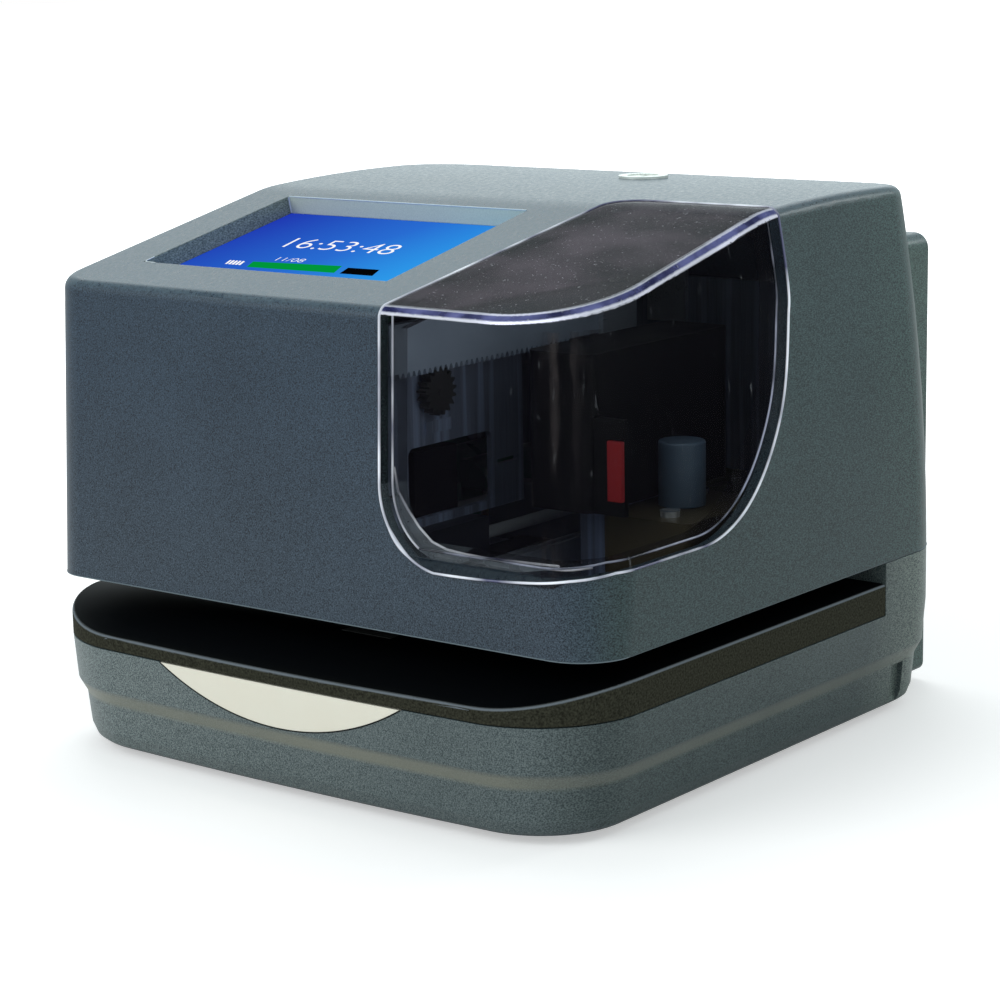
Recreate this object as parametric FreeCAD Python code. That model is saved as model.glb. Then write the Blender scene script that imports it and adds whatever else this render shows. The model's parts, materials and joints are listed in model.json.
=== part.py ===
import FreeCAD, Part
import math
import os

# Date and time stamp machine, millimetres. The origin is the middle of the footprint on the desk,
# +Z is up and the paper goes in from -Y.

# Case
caseWidth = 165.0
tableFrontY = -87.0
coverFrontY = -75.5
coverRearY = 77.1
bossRearY = 87.0
footHeight = 2.0
bandBottomZ = 27.6
tableTopZ = 35.7
lipTopZ = 30.5
rampY = -61.5
partingZ = 41.0
throatEndY = 44.3
slopeStartZ = 111.9
slopeDegrees = 12.09
ridgeY = 3.0
crownRise, rearRise = 1.5, 0.7
wall = 2.5
seam = 0.3
seatGap = 0.05
looseGap = 0.2
topRound = 3.0
tableRound = 1.0

# Corners of the outlines, front left, front right, rear right, rear left, and how fast the
# cover's front right one opens and its rear right one closes with height
coverCorners = (10.0, 12.5, 17.8, 17.8)
cornerGrowth, cornerShrink = 0.16, 0.045
tableCorners = (30.5, 26.0, 17.8, 17.8)
frontBow = 2.3

# How far the base draws in at the floor, and the height of its step
floorInset = 5.8
stepLow, stepHigh = 11.5, 15.0
notchY, notchWidth, notchDepth = 52.0, 5.7, 1.4

# Rear boss with its wall holes, and the power inlet
bossHalf = 69.7
bossSplitZ = 39.5
bossDrop = 13.0
bossCorner, bossLowCorner, bossEdge = 4.0, 2.0, 1.5
mountHoleX, mountHoleZ, mountHoleRadius = 45.0, 21.0, 2.25
jackX, jackZ, jackRadius = -28.0, 14.0, 4.0
socketRadius, socketDepth = 2.8, 9.0

# Screen recess, along the slope
screenLeft, screenRight = -65.1, 11.6
screenNear, screenFar = 19.7, 73.4
recessDepth = 4.5
panelThickness = 3.2
boardThickness = 1.6
postInset, postEnd = 4.0, 6.0
postRadius = 2.8

# Window
windowLeft = 23.7
windowLean = 0.078
windowBottom = 55.8
windowRearY = 8.5
windowRound = 18.5
windowCurveY = -35.0
windowCurveRise = 10.1
windowSideBottom = 59.6
windowDips = [(-66.0, 0.0), (-73.4, 1.2), (-75.6, 3.6)]
windowCorner = 8.0
windowProud = 0.6
windowWall = 2.0
windowReturn = 6.0

# Feet, screws and floor plate
footX, footFrontY, footRearY, footRadius = 60.0, -62.0, 58.0, 7.0
screwRadius = 1.4
headRadius, headHeight = 2.4, 1.3
screwLength = 10.0
bossX, bossFrontY, bossRearSpotY, bossRadius = 64.0, -42.0, 24.0, 4.0
tablePostX, tablePostYs = 50.0, (-50.0, 20.0)
plateSheet = 1.5

# Front light, a slice of a large disc
crescentX, crescentRadius, crescentLowZ = 1.5, 70.4, 17.4

# Platen pad in the paper table: left, right, front, rear
padSpan = (1.5, 16.5, -64.0, -2.0)
padThickness = 1.2

# Frame
columnX, columnHalf, columnSheet = 55.0, 9.0, 1.5
columnFront, columnRear = 50.0, 66.0
deckHalf = 70.0
deckFront = -68.0
deckThickness = 1.5
throatThickness = 1.8
backDrop = 7.9
standoffHeight = 6.0
mainBoardSpan = (-68.0, -12.0, -62.0, 18.0)
powerSpan = (-52.0, 2.0, -26.0, 30.0)
batterySpan = (-65.2, -20.8, 20.5, 53.0)

# Print unit
carriageTravel = 34.0
shaftRadius = 1.5
shaftZ = 55.2
mainShaftX = 20.5
sideShaftX = -3.0
shaftFrontY = -71.8
supportThickness = 3.5
blockFront, blockRear = -66.0, -36.0
blockRise = 4.8
bushLength, bushWall = 8.0, 1.2
plateX, plateThickness = 17.0, 1.5
plateFront, plateRear, plateMargin = -69.0, -16.0, 5.9
openingSpan = (-58.5, -28.0, 62.0, 78.6)
headLeft, headRight, headFront, headRear = 4.0, 14.7, -54.7, -39.3
headLow, headTop = 52.0, 77.0
motorRadius, motorLength, motorHubRadius = 9.0, 19.0, 2.9
ribbonX, ribbonWidth, ribbonFront, ribbonRear = 9.0, 8.0, -66.5, 1.5
ribbonGap = 1.7
railX = 27.0

# Rack and pinion
toothModule = 0.6
pinionTeeth = 17
pinionY, pinionDrop = -50.5, 20.8
pinionShaftRadius = 1.0
addendum, rackRoot, toothSlant = 0.45, 0.78, 0.36
rackX = (19.3, 22.0)
rackFront, rackRear, rackDrop = -68.0, 24.0, 3.9
bracketWidth, bracketFoot, bracketSheet = 14.0, 7.0, 1.5

# Ribbon drive and cassette
sideRoom = 9.5
driveWidth, driveFront, driveRear = 24.0, -27.0, 8.0
driveHeight, driveRoof = 17.5, 4.0
holderGap, holderWidth, holderFront, holderRear = 2.0, 9.0, -20.0, 16.0
cassetteFront, cassetteRear, cassetteLedge = -37.5, 19.0, 2.0
cassetteWidth, cassetteLow, cassetteDrop = 18.0, 64.0, 11.9
markerReach, markerY = 8.1, -36.0

# Lock
lockX, lockY = 4.4, 54.5
lockFaceRadius = 6.35
lockBarrelRadius = 5.5
lockProud, lockHead = 0.6, 1.0
plugRadius, plugLength = 4.0, 24.0
nutRadius = 9.0
camThickness, camReach, camHalf = 2.0, 8.8, 4.0
keeperHalf, keeperSheet = 6.0, 1.5

# Knob and paper lever
knobInset, knobY = 13.5, -9.5
knobRadius = 5.5
knobHeight = 15.0
leverX, leverY, leverZ = 40.0, 30.0, 47.5
leverReach, leverHalf, leverTip = 13.5, 1.5, 1.2
leverPinRadius = 1.0
leverGap, leverSweep = 2.5, 11.0

# Worked out from the sizes above
up = (0, 0, 1)
halfWidth = caseWidth / 2
slopeTan = math.tan(math.radians(slopeDegrees))
ridgeZ = slopeStartZ + slopeTan * (ridgeY - coverFrontY)
crownZ = ridgeZ + crownRise
rearTopZ = ridgeZ + rearRise
bottomZ = footHeight
throatZ = partingZ + looseGap
deckZ = throatZ + throatThickness
deckTop = deckZ + deckThickness
backTopZ = slopeStartZ - backDrop
bossTopZ = rearTopZ - bossDrop
pinionZ = slopeStartZ - pinionDrop
plateHigh = pinionZ + plateMargin
rackTopZ = slopeStartZ - rackDrop
mainBoardZ = deckTop + standoffHeight
blockTop = shaftZ + blockRise
supportTop = blockTop - seam
shaftRearY = blockRear + carriageTravel + 8.0
ribbonZ = deckTop + ribbonGap
blockLow = ribbonZ + 4.3
pitchRadius = toothModule * pinionTeeth / 2
toothPitch = math.pi * toothModule
pitchZ = pinionZ + pitchRadius
driveTopZ = deckTop + driveHeight
driveRight = halfWidth - sideRoom
driveLeft = driveRight - driveWidth
driveSpots = [(driveRight - 9.0, driveFront + 6.0), (driveLeft + 6.0, driveRear - 4.0)]
knobX = driveRight - knobInset
holderRight = driveLeft - holderGap
holderLeft = holderRight - holderWidth
cassetteLeft = holderLeft - cassetteLedge
cassetteRight = cassetteLeft + cassetteWidth
cassetteHigh = slopeStartZ - cassetteDrop
markerRight = cassetteRight + markerReach
lockTop = crownZ + lockProud
camTop = lockTop - plugLength - 2.0
panelZ = -recessDepth - panelThickness
boardTopZ = panelZ - seam
root2 = math.sqrt(0.5)
boardSpots = [(x, y) for x in (mainBoardSpan[0] + 3.5, mainBoardSpan[1] - 3.5)
              for y in (mainBoardSpan[2] + 3.5, mainBoardSpan[3] - 3.5)]
powerBoardZ = bottomZ + plateSheet + 5.0


def vec(x, y, z):
    return FreeCAD.Vector(x, y, z)


def box(x0, x1, y0, y1, z0, z1):
    return Part.makeBox(x1 - x0, y1 - y0, z1 - z0, vec(x0, y0, z0))


def rod(start, direction, radius, length):
    return Part.makeCylinder(radius, length, vec(*start), vec(*direction))


def ring(start, direction, outer, inner, length):
    return rod(start, direction, outer, length).cut(rod(start, direction, inner, length))


def fuseAll(shapes):
    return shapes[0].multiFuse(shapes[1:]).removeSplitter() if len(shapes) > 1 else shapes[0]


def screw(x, y, seatZ, side, length):
    """A screw whose head stands above (1) or hangs below (-1) its seat."""
    head = rod((x, y, seatZ if side > 0 else seatZ - headHeight), up, headRadius, headHeight)
    return head.fuse(rod((x, y, seatZ), (0, 0, -side), screwRadius, length))


def roundedWire(left, right, front, rear, corners, z, bow=0.0):
    """Outline with four round corners; the front edge may bow out in the middle."""
    frontLeft, frontRight, rearRight, rearLeft = corners
    middle, half = (left + right) / 2, (right - left) / 2

    def frontAt(x):
        return front + bow * ((x - middle) / half) ** 2

    a = vec(left + frontLeft, frontAt(left + frontLeft), z)
    b = vec(right - frontRight, frontAt(right - frontRight), z)
    c, d = vec(right, b.y + frontRight, z), vec(right, rear - rearRight, z)
    e, f = vec(right - rearRight, rear, z), vec(left + rearLeft, rear, z)
    g, h = vec(left, rear - rearLeft, z), vec(left, a.y + frontLeft, z)

    def corner(p, q, centre, radius, sx, sy):
        return Part.Arc(p, centre + vec(sx * radius * root2, sy * radius * root2, 0), q).toShape()

    edge = Part.Arc(a, vec(middle, front, z), b).toShape() if bow else Part.makeLine(a, b)
    return Part.Wire([
        edge, corner(b, c, vec(b.x, c.y, z), frontRight, 1, -1), Part.makeLine(c, d),
        corner(d, e, vec(e.x, d.y, z), rearRight, 1, 1), Part.makeLine(e, f),
        corner(f, g, vec(f.x, g.y, z), rearLeft, -1, 1), Part.makeLine(g, h),
        corner(h, a, vec(a.x, h.y, z), frontLeft, -1, -1)])


def slopeZ(y):
    return slopeStartZ + slopeTan * (y - coverFrontY)


def coverWire(z, inset):
    """Outline of the cover at a height: near vertical at the left, leaning in at the right."""
    rise = z - partingZ
    left = -halfWidth + 0.019 * rise + inset
    right = halfWidth - 0.016 * rise - 0.001 * max(rise, 0) ** 2 - inset
    front = coverFrontY + 0.037 * rise + inset
    rear = coverRearY - 0.022 * rise - inset
    frontLeft, frontRight, rearRight, rearLeft = coverCorners
    frontRight += cornerGrowth * max(rise, 0)
    rearRight -= cornerShrink * max(rise, 0)
    corners = [max(corner - inset, 1.0) for corner in (frontLeft, frontRight, rearRight, rearLeft)]
    return roundedWire(left, right, front, rear, corners, z)


def topProfile(drop):
    """Everything below the sloping front and the crowned top, lowered by the skin."""
    near, far = tableFrontY - 20, bossRearY + 20
    ridge, back = vec(0, ridgeY, slopeZ(ridgeY) - drop), vec(0, coverRearY, rearTopZ - drop)
    crown = vec(0, (ridgeY + coverRearY) / 2, crownZ - drop)
    nearTop, farTop = vec(0, near, slopeZ(near) - drop), vec(0, far, rearTopZ - 1 - drop)
    face = Part.Face(Part.Wire([
        Part.makeLine(vec(0, near, 0), nearTop), Part.makeLine(nearTop, ridge),
        Part.Arc(ridge, crown, back).toShape(),
        Part.makeLine(back, farTop), Part.makeLine(farTop, vec(0, far, 0)),
        Part.makeLine(vec(0, far, 0), vec(0, near, 0))]))
    face.translate(vec(-caseWidth, 0, 0))
    solid = face.extrude(vec(2 * caseWidth, 0, 0))
    edges = [e for e in solid.Edges if abs(e.CenterOfMass.y - ridgeY) < 0.01 and e.CenterOfMass.z > partingZ]
    return solid.makeFillet(50.0, edges)


def coverSolid(inset, drop, bottom=partingZ):
    heights = [bottom, partingZ + 25, partingZ + 50, partingZ + 75, crownZ + 9]
    loft = Part.makeLoft([coverWire(z, inset) for z in heights], True, False)
    return loft.common(topProfile(drop)).Solids[0]


def tableWire(z, inset):
    corners = [max(corner - inset, 1.0) for corner in tableCorners]
    return roundedWire(-halfWidth + inset, halfWidth - inset, tableFrontY + inset, coverRearY - inset,
                       corners, z, frontBow)


def baseSolid(extra, top):
    """The base steps in below its upper wall and rounds in at the floor."""
    sections = [(bottomZ, floorInset), (bottomZ + 1.0, 4.5), (bottomZ + 3.5, 3.5), (footHeight + stepLow, 2.7),
                (footHeight + stepHigh, 0.8), (bandBottomZ, 0.0)]
    wires = [tableWire(z, inset + extra) for z, inset in sections]
    if top > bandBottomZ:
        wires.append(tableWire(top, extra))
    return Part.makeLoft(wires, True, True)


def onSlope(shape):
    """Lays a shape made flat, with its face at z = 0, on the sloping front."""
    shape.rotate(vec(0, 0, 0), vec(1, 0, 0), slopeDegrees)
    shape.translate(vec(0, coverFrontY, slopeStartZ))
    return shape


def windowRegion(shrink):
    """The space the window fills, bounded by its outline on the front, right side and slope."""
    left, bottom, reach = windowLeft + shrink, windowBottom + shrink, 60.0
    frontY = coverFrontY - 10
    length = windowRearY - shrink - frontY
    leanStart = left - windowLean * (coverFrontY - frontY)
    r = windowRound - shrink
    top, right = crownZ + 20, halfWidth + reach
    a, b = vec(leanStart, frontY, top), vec(leanStart, frontY, bottom + r)
    c, d = vec(leanStart + r, frontY, bottom), vec(right, frontY, bottom + 3)
    e = vec(right, frontY, top)
    middle = vec(leanStart + r * (1 - root2), frontY, bottom + r * (1 - root2))
    front = Part.Face(Part.Wire([Part.makeLine(a, b), Part.Arc(b, middle, c).toShape(), Part.makeLine(c, d),
                                 Part.makeLine(d, e), Part.makeLine(e, a)]))
    fromFront = front.extrude(vec(windowLean * length, length, 0))

    x0, y1, z0 = -10.0, windowRearY - shrink, windowSideBottom + shrink
    curveY, curveZ = windowCurveY, slopeStartZ + windowCurveRise
    ry, rz = y1 - curveY, curveZ - z0
    quarter = [vec(x0, curveY + ry * math.sin(t), curveZ - rz * math.cos(t)) for t in
               [math.pi / 2 * i / 6 for i in range(7)]]
    curve = Part.BSplineCurve()
    curve.interpolate(quarter, InitialTangent=vec(0, 1, 0), FinalTangent=vec(0, 0, 1))
    nearTop, nearLow = vec(x0, frontY - 1, top), vec(x0, frontY - 1, z0 - windowDips[-1][1])
    dips = [vec(x0, y, z0 - drop) for y, drop in reversed(windowDips)]
    lowEdge = [nearLow] + dips + [quarter[0]]
    side = Part.Face(Part.Wire([
        Part.makeLine(nearTop, nearLow)] + [Part.makeLine(p, q) for p, q in zip(lowEdge, lowEdge[1:])] + [curve.toShape(),
        Part.makeLine(quarter[-1], vec(x0, y1, top)), Part.makeLine(vec(x0, y1, top), nearTop)]))
    fromSide = side.extrude(vec(halfWidth + reach, 0, 0))

    backX, turn = leanStart + windowLean * length, windowCorner
    p, q = vec(leanStart, frontY, 0), vec(backX - windowLean * turn, y1 - turn, 0)
    s, t = vec(backX + turn, y1, 0), vec(right, y1, 0)
    bend = vec(backX + turn * (1 - root2), y1 - turn * (1 - root2), 0)
    plan = Part.Face(Part.Wire([Part.makeLine(p, q), Part.Arc(q, bend, s).toShape(), Part.makeLine(s, t),
                                Part.makeLine(t, vec(right, frontY, 0)), Part.makeLine(vec(right, frontY, 0), p)]))
    fromAbove = plan.extrude(vec(0, 0, top))
    return fromFront.common(fromSide).common(fromAbove)


# Cover

coverOuter = coverSolid(0, 0)
coverInner = coverSolid(wall, wall, partingZ - 5)


def topEdges(solid):
    return [edge for edge in solid.Edges if edge.BoundBox.ZMin > slopeStartZ - 8]


def recessBlock(grow, low, high):
    return onSlope(box(screenLeft - grow, screenRight + grow, screenNear - grow, screenFar + grow, low, high))


postSpots = [(x, y) for x in (screenLeft + postInset, screenRight - postInset)
             for y in (screenNear - postEnd, screenFar + postEnd)]


def upperCover():
    shell = coverOuter.makeFillet(topRound, topEdges(coverOuter)).cut(coverInner)
    # A well round the screen and four posts for its board hang under the sloping skin
    adds = [recessBlock(2.0, -recessDepth, -1.0)]
    for x, y in postSpots:
        adds.append(onSlope(rod((x, y, boardTopZ), up, postRadius, -1.0 - boardTopZ)))
    shell = fuseAll([shell] + adds)
    shell = shell.cut(recessBlock(0, -recessDepth - 2, 10))
    for x, y in postSpots:
        shell = shell.cut(onSlope(rod((x, y, boardTopZ - 1), up, screwRadius + seatGap, 7.0)))
    shell = shell.cut(windowRegion(-seam))
    return shell.cut(rod((lockX, lockY, crownZ - 20), up, lockBarrelRadius + seatGap, 30))


def window():
    outer = coverSolid(-windowProud, -windowProud)
    outer = outer.makeFillet(topRound, topEdges(outer))
    inner = coverSolid(windowWall - windowProud, windowWall - windowProud, partingZ - 5)
    deep = coverSolid(windowReturn, windowReturn, partingZ - 5)
    block = outer.cut(deep).common(windowRegion(0))
    return block.cut(inner.common(windowRegion(windowWall)))


def lcdPanel():
    return onSlope(box(screenLeft - 1, screenRight + 1, screenNear - 1, screenFar + 1, panelZ, -recessDepth))


def lcdBoard():
    edge = 3.2
    xs, ys = [x for x, y in postSpots], [y for x, y in postSpots]
    low = boardTopZ - boardThickness
    board = box(min(xs) - edge, max(xs) + edge, min(ys) - edge, max(ys) + edge, low, boardTopZ)
    board = fuseAll([board, box(-50, -5, 30, 55, low - 2, low), box(-60, -40, 62, 68, low - 4, low)])
    for x, y in postSpots:
        board = board.cut(rod((x, y, boardTopZ - 5), up, screwRadius + looseGap, 10))
    return onSlope(board)


def lcdScrews():
    low = boardTopZ - boardThickness
    return Part.makeCompound([onSlope(screw(x, y, low, -1, boardThickness + 4)) for x, y in postSpots])


def lockBody():
    low = lockTop - plugLength
    body = rod((lockX, lockY, low), up, lockBarrelRadius, plugLength - lockHead)
    body = body.fuse(rod((lockX, lockY, lockTop - lockHead), up, lockFaceRadius, lockHead))
    body = body.cut(coverOuter.common(rod((lockX, lockY, low), up, lockFaceRadius + 1, 40)).cut(
        rod((lockX, lockY, low), up, lockBarrelRadius, 40)))
    return body.cut(rod((lockX, lockY, low - 1), up, plugRadius + seatGap, plugLength + 2))


def lockNut():
    low = slopeZ(ridgeY) - wall - 4.5
    nut = ring((lockX, lockY, low), up, nutRadius, lockBarrelRadius + seatGap, 8.0)
    return nut.common(coverInner)


def lockPlug():
    plug = rod((lockX, lockY, camTop), up, plugRadius, lockTop - seam - camTop)
    slot = box(lockX - 0.5, lockX + 0.5, lockY - 2.4, lockY + 2.4, lockTop - 6, lockTop + 1)
    return plug.cut(slot)


def lockCam():
    cam = box(lockX - camReach, lockX, lockY - camHalf, lockY + camHalf, camTop - camThickness, camTop)
    cam = cam.fuse(rod((lockX, lockY, camTop - camThickness), up, plugRadius + 1, camThickness))
    return cam.makeFillet(1.5, [e for e in cam.Edges if abs(e.CenterOfMass.x - lockX + camReach) < 0.01
                                and abs(e.CenterOfMass.z - camTop + camThickness / 2) < 0.01])


def rearBoss(low, high):
    """A shallow box behind the case with its outer corners and rear edges rounded."""
    block = box(-bossHalf, bossHalf, coverRearY - 12, bossRearY, low, high)
    outerZ = high if high > bossSplitZ + 10 else low
    corners = [e for e in block.Edges if abs(e.CenterOfMass.z - outerZ) < 0.01 and abs(abs(e.CenterOfMass.x) - bossHalf) < 0.01]
    block = block.makeFillet(bossLowCorner if outerZ == low else bossCorner, corners)
    splitZ = low + high - outerZ
    block = block.makeFillet(bossEdge, [e for e in block.Edges if e.BoundBox.YMin > bossRearY - 0.01
                                        and not (e.BoundBox.ZMax - e.BoundBox.ZMin < 0.01
                                                 and abs(e.CenterOfMass.z - splitZ) < 0.01)])
    inside = bossHalf - wall
    return block.cut(box(-inside, inside, coverRearY - 20, bossRearY - wall, low + wall, high - wall))


def rearUpperCover():
    boss = rearBoss(bossSplitZ + seam / 2, bossTopZ).cut(coverOuter)
    return boss.cut(box(-halfWidth, halfWidth, throatEndY, coverRearY + seam, 0, partingZ + seam))


# Base

baseOuter = baseSolid(0, partingZ - seam)
bossSpots = [(side * bossX, y) for side in (-1, 1) for y in (bossFrontY, bossRearSpotY)]
tableSpots = [(side * tablePostX, y) for side in (-1, 1) for y in tablePostYs]
plateTopZ = bottomZ + plateSheet
tableUnder = bandBottomZ - wall


def crescentRod(grow):
    centre = (crescentX, tableFrontY - 5, crescentLowZ + crescentRadius)
    return rod(centre, (0, 1, 0), crescentRadius + grow, 12)


def crescentSpan(top):
    return box(-halfWidth, halfWidth, tableFrontY - 5, tableFrontY + wall + 3.5, 0, top)


def baseShell():
    belowTable = baseSolid(0, bandBottomZ)
    rearBlock = baseOuter.common(box(-halfWidth, halfWidth, throatEndY, bossRearY, bandBottomZ - 1, partingZ))
    cavity = baseSolid(wall, partingZ).common(box(-halfWidth, halfWidth, tableFrontY, bossRearY, 0, tableUnder))
    rearCavity = baseSolid(wall, partingZ + 5).common(
        box(-halfWidth, halfWidth, throatEndY + wall, bossRearY, 10, partingZ + 5))
    shell = fuseAll([belowTable, rearBlock]).cut(cavity).cut(rearCavity)
    posts = [rod((x, y, plateTopZ), up, bossRadius, bandBottomZ - 1 - plateTopZ) for x, y in bossSpots]
    shell = fuseAll([shell] + posts)
    for x, y in bossSpots:
        shell = shell.cut(rod((x, y, 0), up, screwRadius + seatGap, footHeight + screwLength + 2))
    for x, y in tableSpots:
        shell = shell.cut(rod((x, y, tableUnder - 1), up, screwRadius + looseGap, wall + 2))
    # A shallow finger notch in each side, near the rear
    for side in (-1, 1):
        x0, x1 = sorted((side * (halfWidth + 1), side * (halfWidth - 5)))
        notch = box(x0, x1, notchY, notchY + notchWidth, 0, footHeight + stepLow - 0.5)
        shell = shell.cut(notch.common(baseOuter.cut(baseSolid(notchDepth, partingZ))))
    shell = shell.cut(crescentRod(0.12).common(crescentSpan(bandBottomZ)))
    return shell.cut(rod((jackX, coverRearY - 12, jackZ), (0, 1, 0), jackRadius + seam, 20))


def indicatorLens():
    skin = baseSolid(0, bandBottomZ).cut(baseSolid(wall, partingZ))
    return crescentRod(0).common(skin).common(crescentSpan(bandBottomZ - 0.1))


def indicatorBoard():
    y = tableFrontY + wall + 3.4
    low = crescentLowZ - 0.9
    board = box(crescentX - 22, crescentX + 22, y, y + boardThickness, low, tableUnder)
    lamps = [rod((crescentX + x, y - 2.2, low + 5.0), (0, 1, 0), 1.5, 2.2) for x in (-14, 0, 14)]
    return fuseAll([board] + lamps)


def bottomPlate():
    wires = [tableWire(z, floorInset + wall + seam) for z in (bottomZ, plateTopZ)]
    plate = Part.makeLoft(wires, True, True)
    for x, y in bossSpots:
        plate = plate.cut(rod((x, y, 0), up, screwRadius + looseGap, 10))
    for i in range(6):
        x = -18.0 + 6 * i
        plate = plate.cut(box(x, x + 2.5, -30, 10, 0, 10))
    return plate


def bottomScrews():
    return Part.makeCompound([screw(x, y, bottomZ, -1, screwLength) for x, y in bossSpots])


def rubberFeet():
    feet = []
    for x, y in [(side * footX, y) for side in (-1, 1) for y in (footFrontY, footRearY)]:
        foot = rod((x, y, 0), up, footRadius, footHeight)
        feet.append(foot.makeFillet(0.5, [e for e in foot.Edges if e.BoundBox.ZMax < 0.01]))
    return Part.makeCompound(feet)


def paperTable():
    seat = bandBottomZ + seam
    outer = Part.makeLoft([tableWire(seat, 0), tableWire(tableTopZ + 1, 0)], True, True)
    # The top is level under the print unit and runs down to a low lip in front
    far, near = throatEndY - seam, tableFrontY - 1
    start, end = vec(0, rampY, tableTopZ), vec(0, near, lipTopZ - 0.2)
    middle = vec(0, (rampY + near) / 2 - 1.0, (tableTopZ + lipTopZ) / 2 + 0.9)
    profile = Part.Face(Part.Wire([
        Part.makeLine(vec(0, far, 0), vec(0, far, tableTopZ)), Part.makeLine(vec(0, far, tableTopZ), start),
        Part.Arc(start, middle, end).toShape(), Part.makeLine(end, vec(0, near, 0)),
        Part.makeLine(vec(0, near, 0), vec(0, far, 0))]))
    profile.translate(vec(-caseWidth, 0, 0))
    table = outer.common(profile.extrude(vec(2 * caseWidth, 0, 0)))
    rim = [e for e in table.Edges if e.BoundBox.ZMin > lipTopZ - 1 and e.CenterOfMass.y < far - 1
           and not (abs(e.BoundBox.YMin - rampY) < 0.01 and abs(e.BoundBox.YMax - rampY) < 0.01)]
    table = table.makeFillet(tableRound, rim)
    under = profile.extrude(vec(2 * caseWidth, 0, 0))
    under.translate(vec(0, 0, -wall))
    hollow = Part.makeLoft([tableWire(seat - 1, wall), tableWire(tableTopZ, wall)], True, True)
    hollow = hollow.common(under).common(box(-halfWidth, halfWidth, tableFrontY, far - wall, 0, tableTopZ))
    table = table.cut(hollow)
    posts = [rod((x, y, bandBottomZ), up, 3.5, tableTopZ - bandBottomZ - 1.6) for x, y in tableSpots]
    table = fuseAll([table] + posts)
    for x, y in tableSpots:
        table = table.cut(rod((x, y, bandBottomZ - 1), up, screwRadius + seatGap, 7))
    left, right, front, rear = padSpan
    table = table.cut(box(left, right, front, rear, tableTopZ - padThickness, tableTopZ + 1))
    return table.cut(box(leverX - leverGap, leverX + leverGap, leverY - leverGap - 1, leverY + leverSweep,
                         bandBottomZ, tableTopZ + 1))


def platenPad():
    left, right, front, rear = padSpan
    gap = looseGap
    return box(left + gap, right - gap, front + gap, rear - gap, tableTopZ - padThickness, tableTopZ)


def tableScrews():
    return Part.makeCompound([screw(x, y, tableUnder, -1, wall + 5) for x, y in tableSpots])


def rearLowerCover():
    boss = rearBoss(bottomZ + 1, bossSplitZ - seam / 2).cut(baseSolid(0, partingZ + 5))
    for side in (-1, 1):
        boss = boss.cut(rod((side * mountHoleX, coverRearY, mountHoleZ), (0, 1, 0), mountHoleRadius, 30))
    return boss.cut(rod((jackX, coverRearY, jackZ), (0, 1, 0), jackRadius + seatGap, 30))


def powerJack():
    front = coverRearY - 10
    barrel = rod((jackX, front, jackZ), (0, 1, 0), jackRadius, bossRearY - front)
    half = jackRadius + 1
    foot = box(jackX - half, jackX + half, front - 6, front, plateTopZ, jackZ + half)
    return barrel.fuse(foot).cut(rod((jackX, bossRearY - socketDepth, jackZ), (0, 1, 0), socketRadius, 20))


# Frame

def column(side):
    x0, x1 = side * columnX - columnHalf, side * columnX + columnHalf
    low, high, sheet = plateTopZ, deckZ, columnSheet
    tube = box(x0, x1, columnFront, columnRear, low, high)
    hollow = box(x0 + sheet, x1 - sheet, columnFront - 1, columnRear - sheet, low + sheet, high - sheet)
    tube = tube.cut(hollow)
    for x, y in chassisSpots:
        if x0 < x < x1:
            tube = tube.cut(rod((x, y, deckZ - 3), up, screwRadius + seatGap, 5))
    return tube


printSlot = (headLeft, headRight - 0.7, headFront - 6.3, headRear + carriageTravel + 0.3)
leverSlot = (leverX - leverGap, leverX + leverGap, leverY - leverGap - 2.5, leverY + leverSweep)
chassisSpots = [(side * columnX + dx, (columnFront + columnRear) / 2) for side in (-1, 1) for dx in (-5, 5)]


def upperChassis():
    rear = columnRear + deckThickness
    deck = box(-deckHalf, deckHalf, deckFront, rear, deckZ, deckTop)
    back = box(-deckHalf, deckHalf, columnRear, rear, deckZ, backTopZ)
    deck = fuseAll([deck, back])
    for span in (printSlot, leverSlot):
        deck = deck.cut(box(*span, deckZ - 1, deckTop + 1))
    for x, y in chassisSpots:
        deck = deck.cut(rod((x, y, deckZ - 1), up, screwRadius + looseGap, 5))
    return deck


def chassisScrews():
    length = deckThickness + columnSheet + 1
    return Part.makeCompound([screw(x, y, deckTop, 1, length) for x, y in chassisSpots])


def throatPlate():
    wires = [coverWire(z, wall + 0.5) for z in (throatZ, deckZ)]
    plate = Part.makeLoft(wires, True, True).common(box(-halfWidth, halfWidth, -100, throatEndY + wall, 0, 100))
    for span in (printSlot, leverSlot):
        plate = plate.cut(box(*span, throatZ - 1, deckZ + 1))
    return plate


def lockKeeper():
    """Hook on the frame that the cam turns under."""
    top = camTop + 0.4 + keeperSheet
    x0, x1 = lockX - keeperHalf, lockX + keeperHalf
    lip = box(x0, x1, lockY + lockBarrelRadius + 1.0, columnRear, top - keeperSheet, top)
    return lip.fuse(box(x0, x1, columnRear - keeperSheet, columnRear, backTopZ - 12, top))


def shaftSupports():
    x0, x1 = sideShaftX - 4, mainShaftX + 2.7
    ends = (shaftFrontY, shaftRearY - supportThickness)
    blocks = [box(x0, x1, y0, y0 + supportThickness, deckTop, supportTop) for y0 in ends]
    for x in (sideShaftX, mainShaftX):
        blocks = [block.cut(rod((x, shaftFrontY - 1, shaftZ), (0, 1, 0), shaftRadius, 200)) for block in blocks]
    return Part.makeCompound(blocks)


def shaft(x):
    return rod((x, shaftFrontY, shaftZ), (0, 1, 0), shaftRadius, shaftRearY - shaftFrontY)


def ribbonRail():
    x0, x1 = railX - 2.0, railX + 2.0
    rail = box(x0, x1, -66, 4, deckTop, deckTop + 6.0)
    return rail.cut(box(x0 + 1, x1 - 1, -67, 5, deckTop + 1.2, deckTop + 7))


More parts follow.
